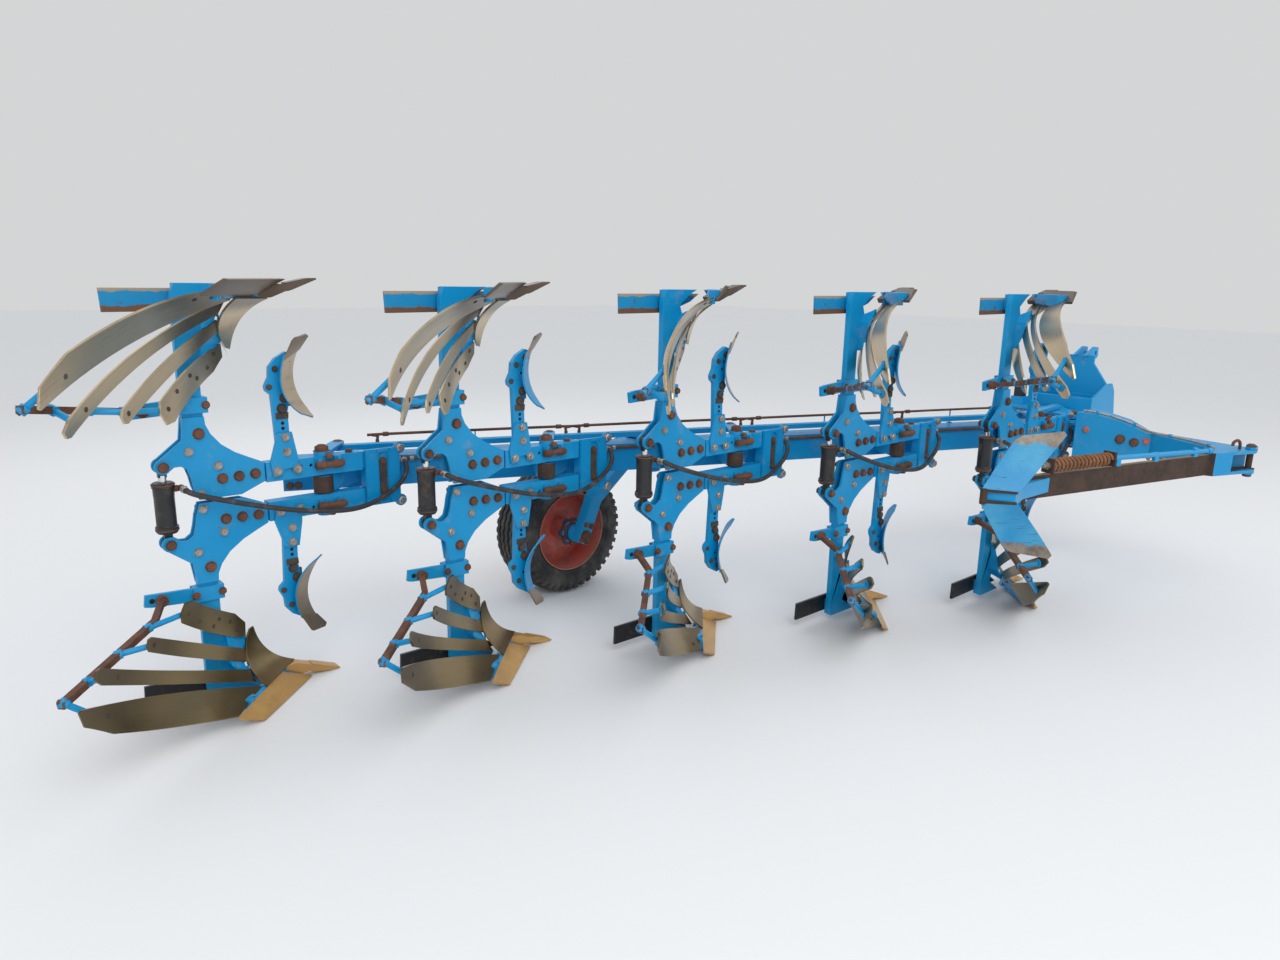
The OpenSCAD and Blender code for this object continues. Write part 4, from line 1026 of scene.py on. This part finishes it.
def make_carrier_details():
    """Adjusting spools, their ears, the link plate in the bracket's slot and the bracket's raised frame."""
    solid = Solid()
    spool = [(0, 12), (3, 17), (20, 19), (38, 19), (44, 14), (78, 14), (84, 18), (104, 19), (118, 16),
             (126, 11), (128, 8)]
    solid.lathe((372, -21, SPOOL_Z), (500, -21, SPOOL_Z), spool, 1, 20)
    for x in (392, 476):
        side_plate(solid, [(x - 10, 66), (x + 10, 66), (x + 16, 124), (x - 16, 124)], -13, -2, 0)
        solid.block((x - 8, -24, 100), (x + 8, -8, 122), finish=0)
    solid.lathe((436, -12, 118), (436, -12, 136), [(0, 18), (10, 18), (12, 15), (18, 13)], 1, 6)
    # the raised frame round the slot
    for x0, x1 in ((606, 660), (716, 764)):
        solid.block((x0, -5.5, 0), (x1, -1.5, 125), finish=0)
    solid.block((655, -5.5, 113), (720, -1.5, 125), finish=0)
    # the link plate in the slot
    turns = [math.pi * i / 12 for i in range(13)]
    top = [(688 + 17 * math.cos(a), 70 + 17 * math.sin(a)) for a in turns]
    side_plate(solid, [(705, 0)] + top + [(671, 0)], 0.5, 6.5, 2)
    solid.block((617, 14, 30), (640, 44, 96), finish=0)
    solid.add_mirrored()
    # the nut on the swivel pin and the washer under it
    solid.lathe((420, 28, 142), (420, 28, 166), [(0, 36), (4, 36), (5, 29), (20, 29), (24, 25)], 1, 6)
    solid.lathe((420, 28, 160), (420, 28, 171), [(0, 17), (9, 17), (11, 15)], 1, 18)
    return solid


def carrier_finish(point, normal):
    """The swivel pin between the arms is bare and rusty."""
    near_pin = (point.xy - SWIVEL.xy).length < PIN_RADIUS
    return 1 if near_pin and abs(point.z) < PIN_HALF and abs(normal.z) < UPRIGHT else 0


# Every body pair

mouldboard_steel, mouldboard_holders = make_mouldboards()
share_solid = make_shares()
trip_solid = make_trip_cylinder()
skimmer_solid = make_skimmers()
carrier_solid = make_carrier_details()
hose_solid = make_hose()
near_end_solid, far_end_solid = make_hose_ends()
# The surface that the frog is set back behind, a little wider than the shin
SHIN_STEPS, SHIN_ROWS, SHIN_WIDER = 28, 16, 5
shin_points = [strip_frame(SHIN, i / SHIN_STEPS, j / SHIN_ROWS)
               for i in range(SHIN_STEPS + 1) for j in range(-SHIN_WIDER, SHIN_ROWS + SHIN_WIDER + 1)]
shin_surface = [(point, -front) for point, front in shin_points]

NEAR, FAR, UP = Vector((0, -1, 0)), Vector((0, 1, 0)), Vector((0, 0, 1))
LONG = {"Thread Height": 0.021}
FLUSH = {"Head Radius": 0.008, "Head Height": 0.0012, "Washer Radius": 0.0095, "Washer Thickness": 0.0008,
         "Thread Radius": 0.003, "Thread Height": 0.001, "Head Sides": 16}
FLAT = {"Head Radius": 0.007, "Head Height": 0.0006, "Washer Radius": 0.0075, "Washer Thickness": 0.0004,
        "Thread Radius": 0.003, "Thread Height": 0.0003, "Head Sides": 18}


def both(points):
    """Places in X and Z on the upper and on the lower body."""
    return [(x, s * z, size) for x, z, size in points for s in (-1, 1)]


def marks(points, y, aim):
    """Places on a face at distance y, each a point in X and Z with a size."""
    return [((x, y, z), aim, size) for x, z, size in points]


RUSTY_PLACES = both([(-74, 272, 1.05), (0, 83.5, 1.0), (64, 85, 1.0), (128, 87, 1.0)])
PIN_PLACES = both([(-212, 155, 0.95)])
CLAMP_PLACES = both([(-138, 383, 0.75), (-38, 383, 0.75)])
SLOT_PLACES = both([(688, 70, 0.72)])
ZINC_PLACES = both([(-115, 204, 0.82), (-12, 136.5, 0.82), (-83, 31, 0.8)])
LINK_PLACES = both([(214, 86, 0.9), (297, 86, 0.9), (255, 226, 0.85), (258, 163, 0.85)])
BRACKET_PLACES = both([(769, 123, 1.05)])
CUT_OUT_PLACES = both([(-296, 372, 1.4)])
# The faces across the pair that the bolts sit on
NEAR_FACE, FAR_FACE = 0, 54
STALK_FACE, LINK_FACE, CUT_OUT_FACE, SLOT_FACE = -2, -14, 12, 1
PIN_ENDS = (-8, 62)
rusty_marks = marks(RUSTY_PLACES, NEAR_FACE, NEAR) + marks(RUSTY_PLACES + ZINC_PLACES, FAR_FACE, FAR)
rusty_marks += marks(CLAMP_PLACES, NEAR_FACE, NEAR) + marks(SLOT_PLACES, SLOT_FACE, NEAR)
rusty_marks += marks(CLAMP_PLACES, FAR_FACE, FAR)
rusty_marks += marks(PIN_PLACES, PIN_ENDS[1], FAR) + marks(PIN_PLACES, PIN_ENDS[0], NEAR)
rusty_marks += [((570, 208, 130), UP, 1.1), ((540, 24, 125), UP, 0.8)]
zinc_marks = marks(ZINC_PLACES, NEAR_FACE, NEAR) + marks(LINK_PLACES, LINK_FACE, NEAR)
zinc_marks += marks(BRACKET_PLACES, STALK_FACE, NEAR)
hole_marks = marks(both(STALK_HOLES), STALK_FACE, NEAR) + marks(CUT_OUT_PLACES, CUT_OUT_FACE, NEAR)
# The pair whose skimmer blades still have their paint
UNUSED_PAIR = 2
# What each pair has on its body: name, shapes, finishes, slot, bevel and the CAD node that it replaces
PIECES = [
    ("carrier_details", carrier_solid, [BLUE, RUSTY, DARK_STEEL], "blue_paint", 0.8, None),
    ("strips", mouldboard_steel, [LOOKS["worn_mouldboard_steel"]], "worn_mouldboard_steel", 1.2, None),
    ("strip_holders", mouldboard_holders, [RUSTY, BLUE], "rusty_steel", 0.8, "mouldboards"),
    ("share_and_point", share_solid, [LOOKS["worn_share_steel"]], "worn_share_steel", 1.2, "shares"),
    ("trip_cylinder_dressed", trip_solid, [BLACK, RUSTY, ZINC, CHROME], "black_paint", 0, "trip_cylinder"),
    ("trip_hose_ends", near_end_solid, [ZINC], "chromed_rod", 0, None),
]

for k in range(1, PAIRS + 1):
    body = f"pair_{k}"
    place = pair_place(k)
    softened(f"legs_{k}", body, [BLUE], 1.4, None, place, shin_surface)
    softened(f"carrier_{k}", body, [BLUE, RUSTY], 1.4, carrier_finish, place)
    softened(f"landsides_{k}", body, [LOOKS["dark_blue_steel"]], 1.4)
    for name, solid, finishes, slot, bevel, node in PIECES:
        replaced = [f"{node}_{k}"] if node else []
        show_solid(f"{name}_{k}", solid, place, body, finishes, bevel, replaced)
    blade_finish = BLUE if k == UNUSED_PAIR else SKIMMER_STEEL
    show_solid(f"skimmers_{k}_dressed", skimmer_solid, place, body,
               [BLUE, blade_finish, TIP_STEEL, DARK_STEEL], 1.0, [f"skimmers_{k}"])
    hose = show_solid(f"trip_hose_dressed_{k}", hose_solid, place, None, [LOOKS["hose_rubber"]],
                      0, [f"trip_hose_{k}"])
    show_solid(f"beam_hose_ends_{k}", far_end_solid, place, "beam", [ZINC])
    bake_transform(hose)
    bolts(f"rusty_bolts_{k}", rusty_marks, place, body)
    bolts(f"zinc_bolts_{k}", zinc_marks, place, body, ZINC, "chromed_rod", **LONG)
    bolts(f"dark_bolts_{k}", marks(both(STALK_BOLTS), STALK_FACE, NEAR), place, body, DARK_STEEL)
    bolts(f"holes_{k}", hole_marks, place, body, HOLE_DARK, "grey_paint", **FLAT)
    bolts(f"soil_bolts_{k}", soil_bolts(SOIL_BOLTS), place, body, DARK_STEEL, **FLUSH)


# Depth wheel

WHEEL_AXLE = joint_place("wheel_spin")
TYRE_HALF = 135
TREAD_PITCHES, RIB_HEIGHT = 44, 11


def arc_piece(solid, across, angles, low, high):
    """A piece of tread between two angles; across lists its two sides at each of them."""
    points = []
    for angle, (y0, y1) in zip(angles, across):
        for radius, narrow in ((low, 0), (high, 2.5)):
            for y in (y0 + narrow, y1 - narrow):
                points.append((radius * math.sin(angle), y, radius * math.cos(angle)))
    solid.faces(points, [
        (0, 1, 3, 2), (4, 6, 7, 5), (0, 4, 5, 1), (2, 3, 7, 6), (0, 2, 6, 4), (1, 5, 7, 3),
    ])


def make_tread_pitch():
    """Wavy ribs and the shoulder blocks, one pitch of the tread."""
    solid = Solid()
    pitch = math.tau / TREAD_PITCHES
    for middle, top in ((-84, 355), (-42, 358.5), (0, 360), (42, 358.5), (84, 355)):
        left, right = (middle - 14, middle + 14), (middle - 5, middle + 23)
        arc_piece(solid, (left, right), (0, pitch / 2), top - RIB_HEIGHT, top)
        arc_piece(solid, (right, left), (pitch / 2, pitch), top - RIB_HEIGHT, top)
    for side in (-1, 1):
        for inner, outer, end, low, high in ((104, 124, 0.6, 322, 345), (118, 132, 0.52, 296, 330)):
            across = tuple(sorted((side * inner, side * outer)))
            arc_piece(solid, (across, across), (0.08 * pitch, end * pitch), low, high)
    return solid


def turned(solid, profile, sides=96):
    """A closed outline of points (Y, radius) turned round the Y axis."""
    angles = [math.tau * i / sides for i in range(sides)]
    points = [(r * math.sin(a), y, r * math.cos(a)) for y, r in profile for a in angles]
    solid.skin(points, sides, closed=True)


def make_tyre_body():
    """The carcass below the tread, with its beads and the rings on its walls."""
    solid = Solid()
    wall = [(30, 222), (18, 226), (8, 240), (2, 262), (0, 282), (2, 300), (9, 318), (22, 334), (48, 345),
            (90, 348)]
    turned(solid, [(y - TYRE_HALF, r) for y, r in wall] + [(TYRE_HALF - y, r) for y, r in reversed(wall)])
    for side in (-1, 1):
        for radius in (258, 290):
            ring_section = ((6, -5), (0, -2), (0, 2), (6, 5))
            turned(solid, [(side * (TYRE_HALF - deep), radius + r) for deep, r in ring_section])
    return solid


def lobed_outline(radius, depth, lobes, steps=60):
    """A round outline with shallow dips between its lobes."""
    turns = [math.tau * i / steps for i in range(steps)]
    reaches = [radius - depth * (0.5 - 0.5 * math.cos(lobes * a)) for a in turns]
    return [(reach * math.cos(a), reach * math.sin(a)) for reach, a in zip(reaches, turns)]


HUB_FACE = -118
RIM_EDGE_RADIUS = 214


def make_hub():
    """Lobed disc, the greasy cap in front of it and the ring behind."""
    solid = Solid()
    side_plate(solid, lobed_outline(84, 15, 6), HUB_FACE, HUB_FACE + 12)
    solid.lathe((0, -100, 0), (0, -132, 0), [(0, 62), (16, 62), (24, 50), (32, 46)], 0, 40)
    solid.lathe((0, -130, 0), (0, -143, 0), [(0, 42), (9, 42), (13, 36)], 1, 32)
    solid.lathe((0, 66, 0), (0, 96, 0), [(0, 56), (18, 56), (28, 44), (30, 30)], 0, 32)
    return solid


def rim_finish(point, normal):
    """The flanges of the rim are bare and tan, the dish keeps its red."""
    return 1 if math.hypot(point.x, point.z) > RIM_EDGE_RADIUS else 0


def on_circle(count, radius, lead=0.5):
    """Points spread evenly on a circle; the first lies a share of a step from the first axis."""
    turns = [math.tau * (i + lead) / count for i in range(count)]
    return [(radius * math.cos(a), radius * math.sin(a)) for a in turns]


wheel_place = Matrix.Translation(WHEEL_AXLE) @ IN_METRES
show_solid("tyre_carcass", make_tyre_body(), wheel_place, "wheel", [RUBBER], 0, ("tyre",))
ring("tread", make_tread_pitch(), TREAD_PITCHES, WHEEL_AXLE, "wheel", RUBBER)
softened("wheel_rim", "wheel", [LOOKS["red_paint"], RIM_EDGE], 1.6, rim_finish, wheel_place)
show_solid("wheel_hub", make_hub(), wheel_place, "wheel", [HUB_BLUE, RUSTY], 1.2)
bolts("wheel_nuts", [((x, HUB_FACE, z), NEAR, 0.8) for x, z in on_circle(6, 64)], wheel_place, "wheel")

second = pair_place(2)
softened("wheel_arm", "wheel_arm", [BLUE], 2.0)
softened("wheel_bracket", "wheel_bracket", [BLUE], 1.6)
wheel_bolts = [((1160, 355, 0), FAR, 1.7)]
wheel_bolts += [((x, 158, z), NEAR, 0.9) for x in (1110, 1190) for z in (62, -62)]
bolts("wheel_bracket_bolts", wheel_bolts, second, "wheel_bracket")
ARM_FACE = 389
HINGE = joint_place("depth_wheel")


def wheel_arm_point(before_axle, up):
    """A point on the wheel's arm: how far before the axle, and how high over the arm's middle."""
    way = WHEEL_AXLE - HINGE
    way.y = 0
    length = way.length / MM
    way.normalize()
    above = Vector((-way.z, 0, way.x))
    if above.z < 0:
        above = -above
    start = Vector((HINGE.x, at_pair(2, (0, ARM_FACE, 0)).y, HINGE.z))
    return start + ((length - before_axle) * way + up * above) * MM


arm_bolts = [(wheel_arm_point(0, 0), NEAR, 1.6)]
arm_bolts += [(wheel_arm_point(d, h), NEAR, 0.75) for d, h in ((62, 20), (62, -20), (-28, 20), (-28, -20))]
bolts("wheel_arm_bolts", arm_bolts, Matrix.Identity(4), "wheel_arm")


# The beam with its lines, and the rod that sets the working width

beam_place = pair_place(1) @ Matrix.Rotation(-BEAM_ANGLE, 4, "Z")
BEAM_MIDDLE, BEAM_HALF = 430, 70
LUG_RADIUS, LUG_CLEAR = 43.5, 20
PIPE_HEIGHT, PIPE_ACROSS, PIPE_RADIUS = 150, 491, 7
SWIVELS = [beam_place.inverted() @ (pair_place(k) @ SWIVEL) for k in range(1, PAIRS + 1)]


def beam_finish(point, normal):
    """The lugs on the swivel pins are rusty."""
    if point.y >= BEAM_MIDDLE - BEAM_HALF - LUG_CLEAR or abs(normal.z) >= UPRIGHT:
        return 0
    return 1 if any(math.hypot(point.x - lug.x, point.y - lug.y) < LUG_RADIUS for lug in SWIVELS) else 0


softened("main_beam", "beam", [BLUE, BAR_RUST], 2.0, beam_finish, beam_place)
softened("beam_lines", "beam", [RUSTY], 0.6)
softened("control_rod", "control_rod", [BLUE], 1.6)


def make_beam_pipes():
    """Steel pipes on stand-offs over the beam, their elbows and nuts, and the fittings of the hoses."""
    solid = Solid()
    top, over, across = BEAM_HALF, PIPE_HEIGHT, PIPE_ACROSS
    for k in range(PAIRS - 1):
        start = 640 + k * BODY_PITCH
        end = start + (930 if k < PAIRS - 2 else 700)
        rise = [(0, top - 2), (0, over - 24), (7, over - 7), (24, over)]
        route = [(start + x, across, z) for x, z in rise]
        route += [(end - x, across, z) for x, z in reversed(rise)]
        solid.pipe(smooth_route(route, 3), PIPE_RADIUS, 0, 10)
        for s in (start, end):
            solid.lathe((s, across, top - 1), (s, across, top + 22), [(0, 9), (20, 9), (22, 8)], 0, 6)
            inward = 1 if s == start else -1
            nut = s + 26 * inward
            solid.lathe((nut, across, over), (nut + 26 * inward, across, over), [(0, 12), (26, 12)], 0, 6)
            solid.lathe((s, across, over - 44), (s, across, over - 24), [(0, 9), (20, 9)], 0, 6)
        middle = (start + end) / 2
        solid.block((middle - 14, across - 9, top - 2), (middle + 14, across + 9, top + 5), finish=1)
        solid.block((middle - 3, across - 3, top), (middle + 3, across + 3, over - 4), finish=1)
    way, face, z = HOSE_END - SWIVEL, BEAM_MIDDLE - BEAM_HALF, HOSE_END.z
    for k in range(PAIRS):
        s = SWIVELS[k].x + way.x * math.cos(BEAM_ANGLE) - way.y * math.sin(BEAM_ANGLE)
        for shift in (-30, 30) if k < PAIRS - 1 else (-30,):
            solid.lathe((s + shift, face - 9, z), (s + shift + 18, face - 9, z), [(0, 12), (18, 12)], 2, 6)
        solid.block((s - 17, face - 4, z - 17), (s + 17, face + 1, z + 17), finish=1)
    return solid


show_solid("beam_pipes", make_beam_pipes(), beam_place, "beam", [RUSTY, BLUE, ZINC], 0.5)
beam_bolts = [((260 + 18 * s, BEAM_MIDDLE - BEAM_HALF, z), NEAR, 0.8) for s in (-1, 1) for z in (-45, 45)]
for lug in SWIVELS:
    beam_bolts += [((lug.x + d, BEAM_MIDDLE + BEAM_HALF, z), FAR, 0.9) for d in (20, 110) for z in (-40, 40)]
bolts("beam_bolts", beam_bolts, beam_place, "beam")


# Packer arm with its guide bar and spring

first = pair_place(PAIRS)
BAR_START, BAR_END = Vector((467, -867, 0)), Vector((-895, -505, 0))
BAR_LENGTH = (BAR_END - BAR_START).length
bar_angle = math.atan2(BAR_END.y - BAR_START.y, BAR_END.x - BAR_START.x)
bar_place = first @ Matrix.Translation(BAR_START) @ Matrix.Rotation(bar_angle, 4, "Z")
to_bar = bar_place.inverted() @ first
CATCH_PIN, CATCH_PIN_RADIUS = Vector((758, -968)), 17
BAR_HALF, BAR_RISE, SEATS_FROM, SEAT_HALF = 6.6, 57.5, 800, 34


def packer_arm_finish(point, normal):
    """Guide bar, spring seats and the catch's pin are rusty, the rest is in paint."""
    on_bar = to_bar @ point
    bar = abs(on_bar.y) < BAR_HALF and on_bar.x > 4 and abs(on_bar.z) < BAR_RISE
    seat = abs(on_bar.y) < SEAT_HALF and on_bar.x > SEATS_FROM and on_bar.z > 56
    return 1 if bar or seat or (point.xy - CATCH_PIN).length < CATCH_PIN_RADIUS else 0


def make_packer_details():
    """The spring's coils on their rod with its nut, the bar's upper edge, its clamps and its front boss."""
    solid = Solid()
    turns, steps, start, end, height, wire = 15, 16, 830, 1243, 92, 7
    radius = 25.5
    coil = []
    for i in range(turns * steps + 1):
        turn = math.tau * i / steps
        x = start + wire + (end - start - 2 * wire) * i / (turns * steps)
        coil.append((x, radius * math.cos(turn), height + radius * math.sin(turn)))
    solid.pipe(coil, wire, 0, 8)
    solid.rod((816, 0, height), (1257, 0, height), 11, 1, 16)
    solid.lathe((1250, 0, height), (1290, 0, height), [(0, 19), (18, 19), (20, 11), (38, 11), (40, 9)], 1, 6)
    solid.block((40, -6.8, 52), (BAR_LENGTH - 6, 6.8, 57.6), finish=2)
    for x in (150, 470, 760):
        solid.block((x - 15, -9, 50), (x + 15, 9, 96), finish=3)
    solid.lathe((14, 0, 72), (44, 0, 72), [(0, 15), (3, 17), (27, 17), (30, 15)], 3, 20)
    return solid


def make_outrigger_details():
    """The pipe along the outrigger with its clips, and the catch with its plates, pin and hook."""
    solid = Solid()
    pipe = [(742, -92, 164), (770, -160, 158), (806, -250, 137), (842, -350, 104), (846, -430, 72),
            (800, -560, 70), (716, -700, 70), (640, -800, 70), (560, -848, 70)]
    solid.pipe(smooth_route(pipe, 3), PIPE_RADIUS, 0, 10)
    for x, y, z in pipe[1:-1:2]:
        solid.block((x - 9, y - 9, z - 12), (x + 9, y + 9, z + 9), finish=1)
    for low, high in ((62, 74), (-74, -62)):
        plate = [(716, -976), (742, -944), (800, -950), (828, -976), (800, -990), (740, -994)]
        solid.prism(plate, low, high, finish=1)
    x, y = CATCH_PIN
    solid.lathe((x, y, -88), (x, y, -72), [(0, 19), (3, 22), (14, 22), (16, 19)], 2, 6)
    solid.lathe((x, y, 72), (x, y, 90), [(0, 24), (12, 24), (14, 17), (18, 15)], 2, 20)
    hook = [(700, -930, 64), (690, -930, 96), (668, -924, 112), (640, -914, 104), (634, -912, 84)]
    solid.pipe(smooth_route(hook, 4), 8, 2, 10)
    return solid


softened("packer_arm", "packer_arm", [BLUE, BAR_RUST], 2.0, packer_arm_finish, first)
show_solid("packer_details", make_packer_details(), bar_place, "packer_arm",
           [SPRING_RUST, ZINC, TIP_STEEL, BLUE], 0.6, ["packer_spring"])
show_solid("outrigger_details", make_outrigger_details(), first, "packer_arm", [ZINC, BLUE, RUSTY],
           0.8)
PLATE_INNER = [Vector((-1190, -462, -30)), Vector((-1122, -488, -146)), Vector((-1046, -527, -258))]
PLATE_OUTER = [Vector((-1105, -589, -26)), Vector((-968, -634, -166)), Vector((-904, -686, -288))]


def make_guide_plates():
    """Two scraped plates that lead the packer in, the web behind them and the clamp between them."""
    solid = Solid()
    add_strip(solid, (PLATE_INNER, PLATE_OUTER), (WHOLE, WHOLE, (0.08, 0.1), (0.08, 0.12)), 0, 16, 6, (0, 11))
    solid.add_mirrored()
    web = [(BAR_LENGTH - 170, 6), (BAR_LENGTH, 6), (1560, 4), (1690, 34), (1600, 128), (1470, 60)]
    solid.prism(web, -34, 34, to_bar.inverted(), 1)
    for spot in (-1, 1):
        square_bar(solid, (-1176, -478, 26 * spot), (-1108, -584, 26 * spot), 16, 2)
    solid.lathe((-1186, -470, -36), (-1186, -470, 36), [(0, 12), (2, 15), (70, 15), (72, 12)], 2, 16)
    return solid


show_solid("guide_plates_dressed", make_guide_plates(), first, "packer_arm", [SCRAPED, BLUE, BAR_RUST],
           1.0, ["guide_plates"])
outward = Vector((-379, -146, 0)).normalized()
outrigger_bolts = [((794, -297, 12), outward, 1.3), ((821, -367, 0), outward, 1.2)]
bolts("outrigger_bolts", outrigger_bolts, first, "packer_arm")
red_caps = [((727, -122, 53), outward, 0.9), ((843, -424, 13), outward, 0.9)]
bolts("outrigger_caps", red_caps, first, "packer_arm", LOOKS["red_paint"], "red_paint")
guide_bolts = [((BAR_LENGTH - 130 + 45 * i, -6, z), NEAR, 0.8) for i in range(3) for z in (-22, 22)]
bolts("guide_bolts", guide_bolts, bar_place, "packer_arm")


# Headstock, turn frame, cylinders and stand

TURN_Y = 300
FLANGE_X = 1250
EYE = Vector((1010, 72))


def near_line(point, start, end, radius):
    """Whether a point is inside a cylinder round a line."""
    start, end = Vector(start), Vector(end)
    way = (end - start).normalized()
    reach = (point - start).dot(way)
    return 0 <= reach <= (end - start).length and (point - start - reach * way).length <= radius


def turn_frame_finish(point, normal):
    """The shaft behind the flange and the faces round the eye are rusty."""
    shaft = near_line(point, (FLANGE_X + 30, TURN_Y, 0), (FLANGE_X + 470, TURN_Y, 0), 62)
    return 1 if shaft or (abs(point.z) > 98 and (point.xy - EYE).length < 34) else 0


softened("turn_frame", "turn_frame", [BLUE, RUSTY], 2.0, turn_frame_finish, first)
softened("headstock", "headstock", [BLUE], 2.2)
softened("cross_shaft", "headstock", [TIP_STEEL], 1.6)
softened("parking_leg", "parking_leg", [LOOKS["grey_paint"]], 1.6)
softened("turnover_cylinder", "turnover_ram", [BLACK, CHROME], 1.4)
softened("width_barrel", "width_barrel", [BLACK], 1.6)
softened("width_rod", "width_rod", [CHROME], 1.2)
flange_bolts = [((FLANGE_X, TURN_Y + y, z), Vector((-1, 0, 0)), 1.1) for y, z in on_circle(10, 90)]
bolts("flange_bolts", flange_bolts, first, "turn_frame")


# Floor and light


FLOOR_HALF, FLOOR_GAP = 40, 0.0005


def make_floor():
    """A pale floor, a little below the wheel so that the two don't flicker."""
    m = Nodes("floor_pale")
    m.colour((0.78, 0.78, 0.78))
    m.surface(0.9)
    data = bpy.data.meshes.new("floor")
    corners = [(-1, -1), (1, -1), (1, 1), (-1, 1)]
    data.from_pydata([(x * FLOOR_HALF, y * FLOOR_HALF, 0) for x, y in corners], [], [(0, 1, 2, 3)])
    data.materials.append(m.material)
    floor = bpy.data.objects.new("floor", data)
    bpy.context.scene.collection.objects.link(floor)
    floor.location.z = cad_box[0][2] - FLOOR_GAP


def make_light(name, place, aim, size, power):
    """A lamp with a broad face, turned towards its aim."""
    data = bpy.data.lights.new(name, "AREA")
    data.shape = "RECTANGLE"
    data.size, data.size_y = size
    data.energy = power
    light = bpy.data.objects.new(name, data)
    light.location = place
    light.rotation_euler = (Vector(aim) - Vector(place)).to_track_quat("-Z", "Y").to_euler()
    bpy.context.scene.collection.objects.link(light)


def make_world():
    """Even light from all around, and a greyer backdrop for the camera and for reflections."""
    world = bpy.data.worlds.new("studio")
    world.use_nodes = True
    w = Tree(world.node_tree)
    back = w.tree.nodes["Background"]
    w.put(back.inputs["Color"], (0.93, 0.96, 1.0))
    w.put(back.inputs["Strength"], 0.85)
    seen = w.add("ShaderNodeBackground", {"Color": (0.66, 0.665, 0.67), "Strength": 1.0})
    path = w.add("ShaderNodeLightPath").outputs
    direct = w.math("MAXIMUM", path["Is Camera Ray"], path["Is Glossy Ray"])
    mix = w.add("ShaderNodeMixShader", {0: direct, 1: back.outputs[0], 2: seen.outputs[0]})
    w.put(w.tree.nodes["World Output"].inputs["Surface"], mix.outputs[0])
    bpy.context.scene.world = world


make_floor()
make_world()
make_light("key", (-3.5, -5.5, 6.5), (0.2, -0.2, 0.6), (6, 6), 300)
make_light("fill", (5.5, -5.0, 4.5), (0.5, -0.3, 0.8), (5, 5), 60)
make_light("back", (0.0, 6.5, 5.5), (0.0, 0.0, 0.8), (7, 4), 80)
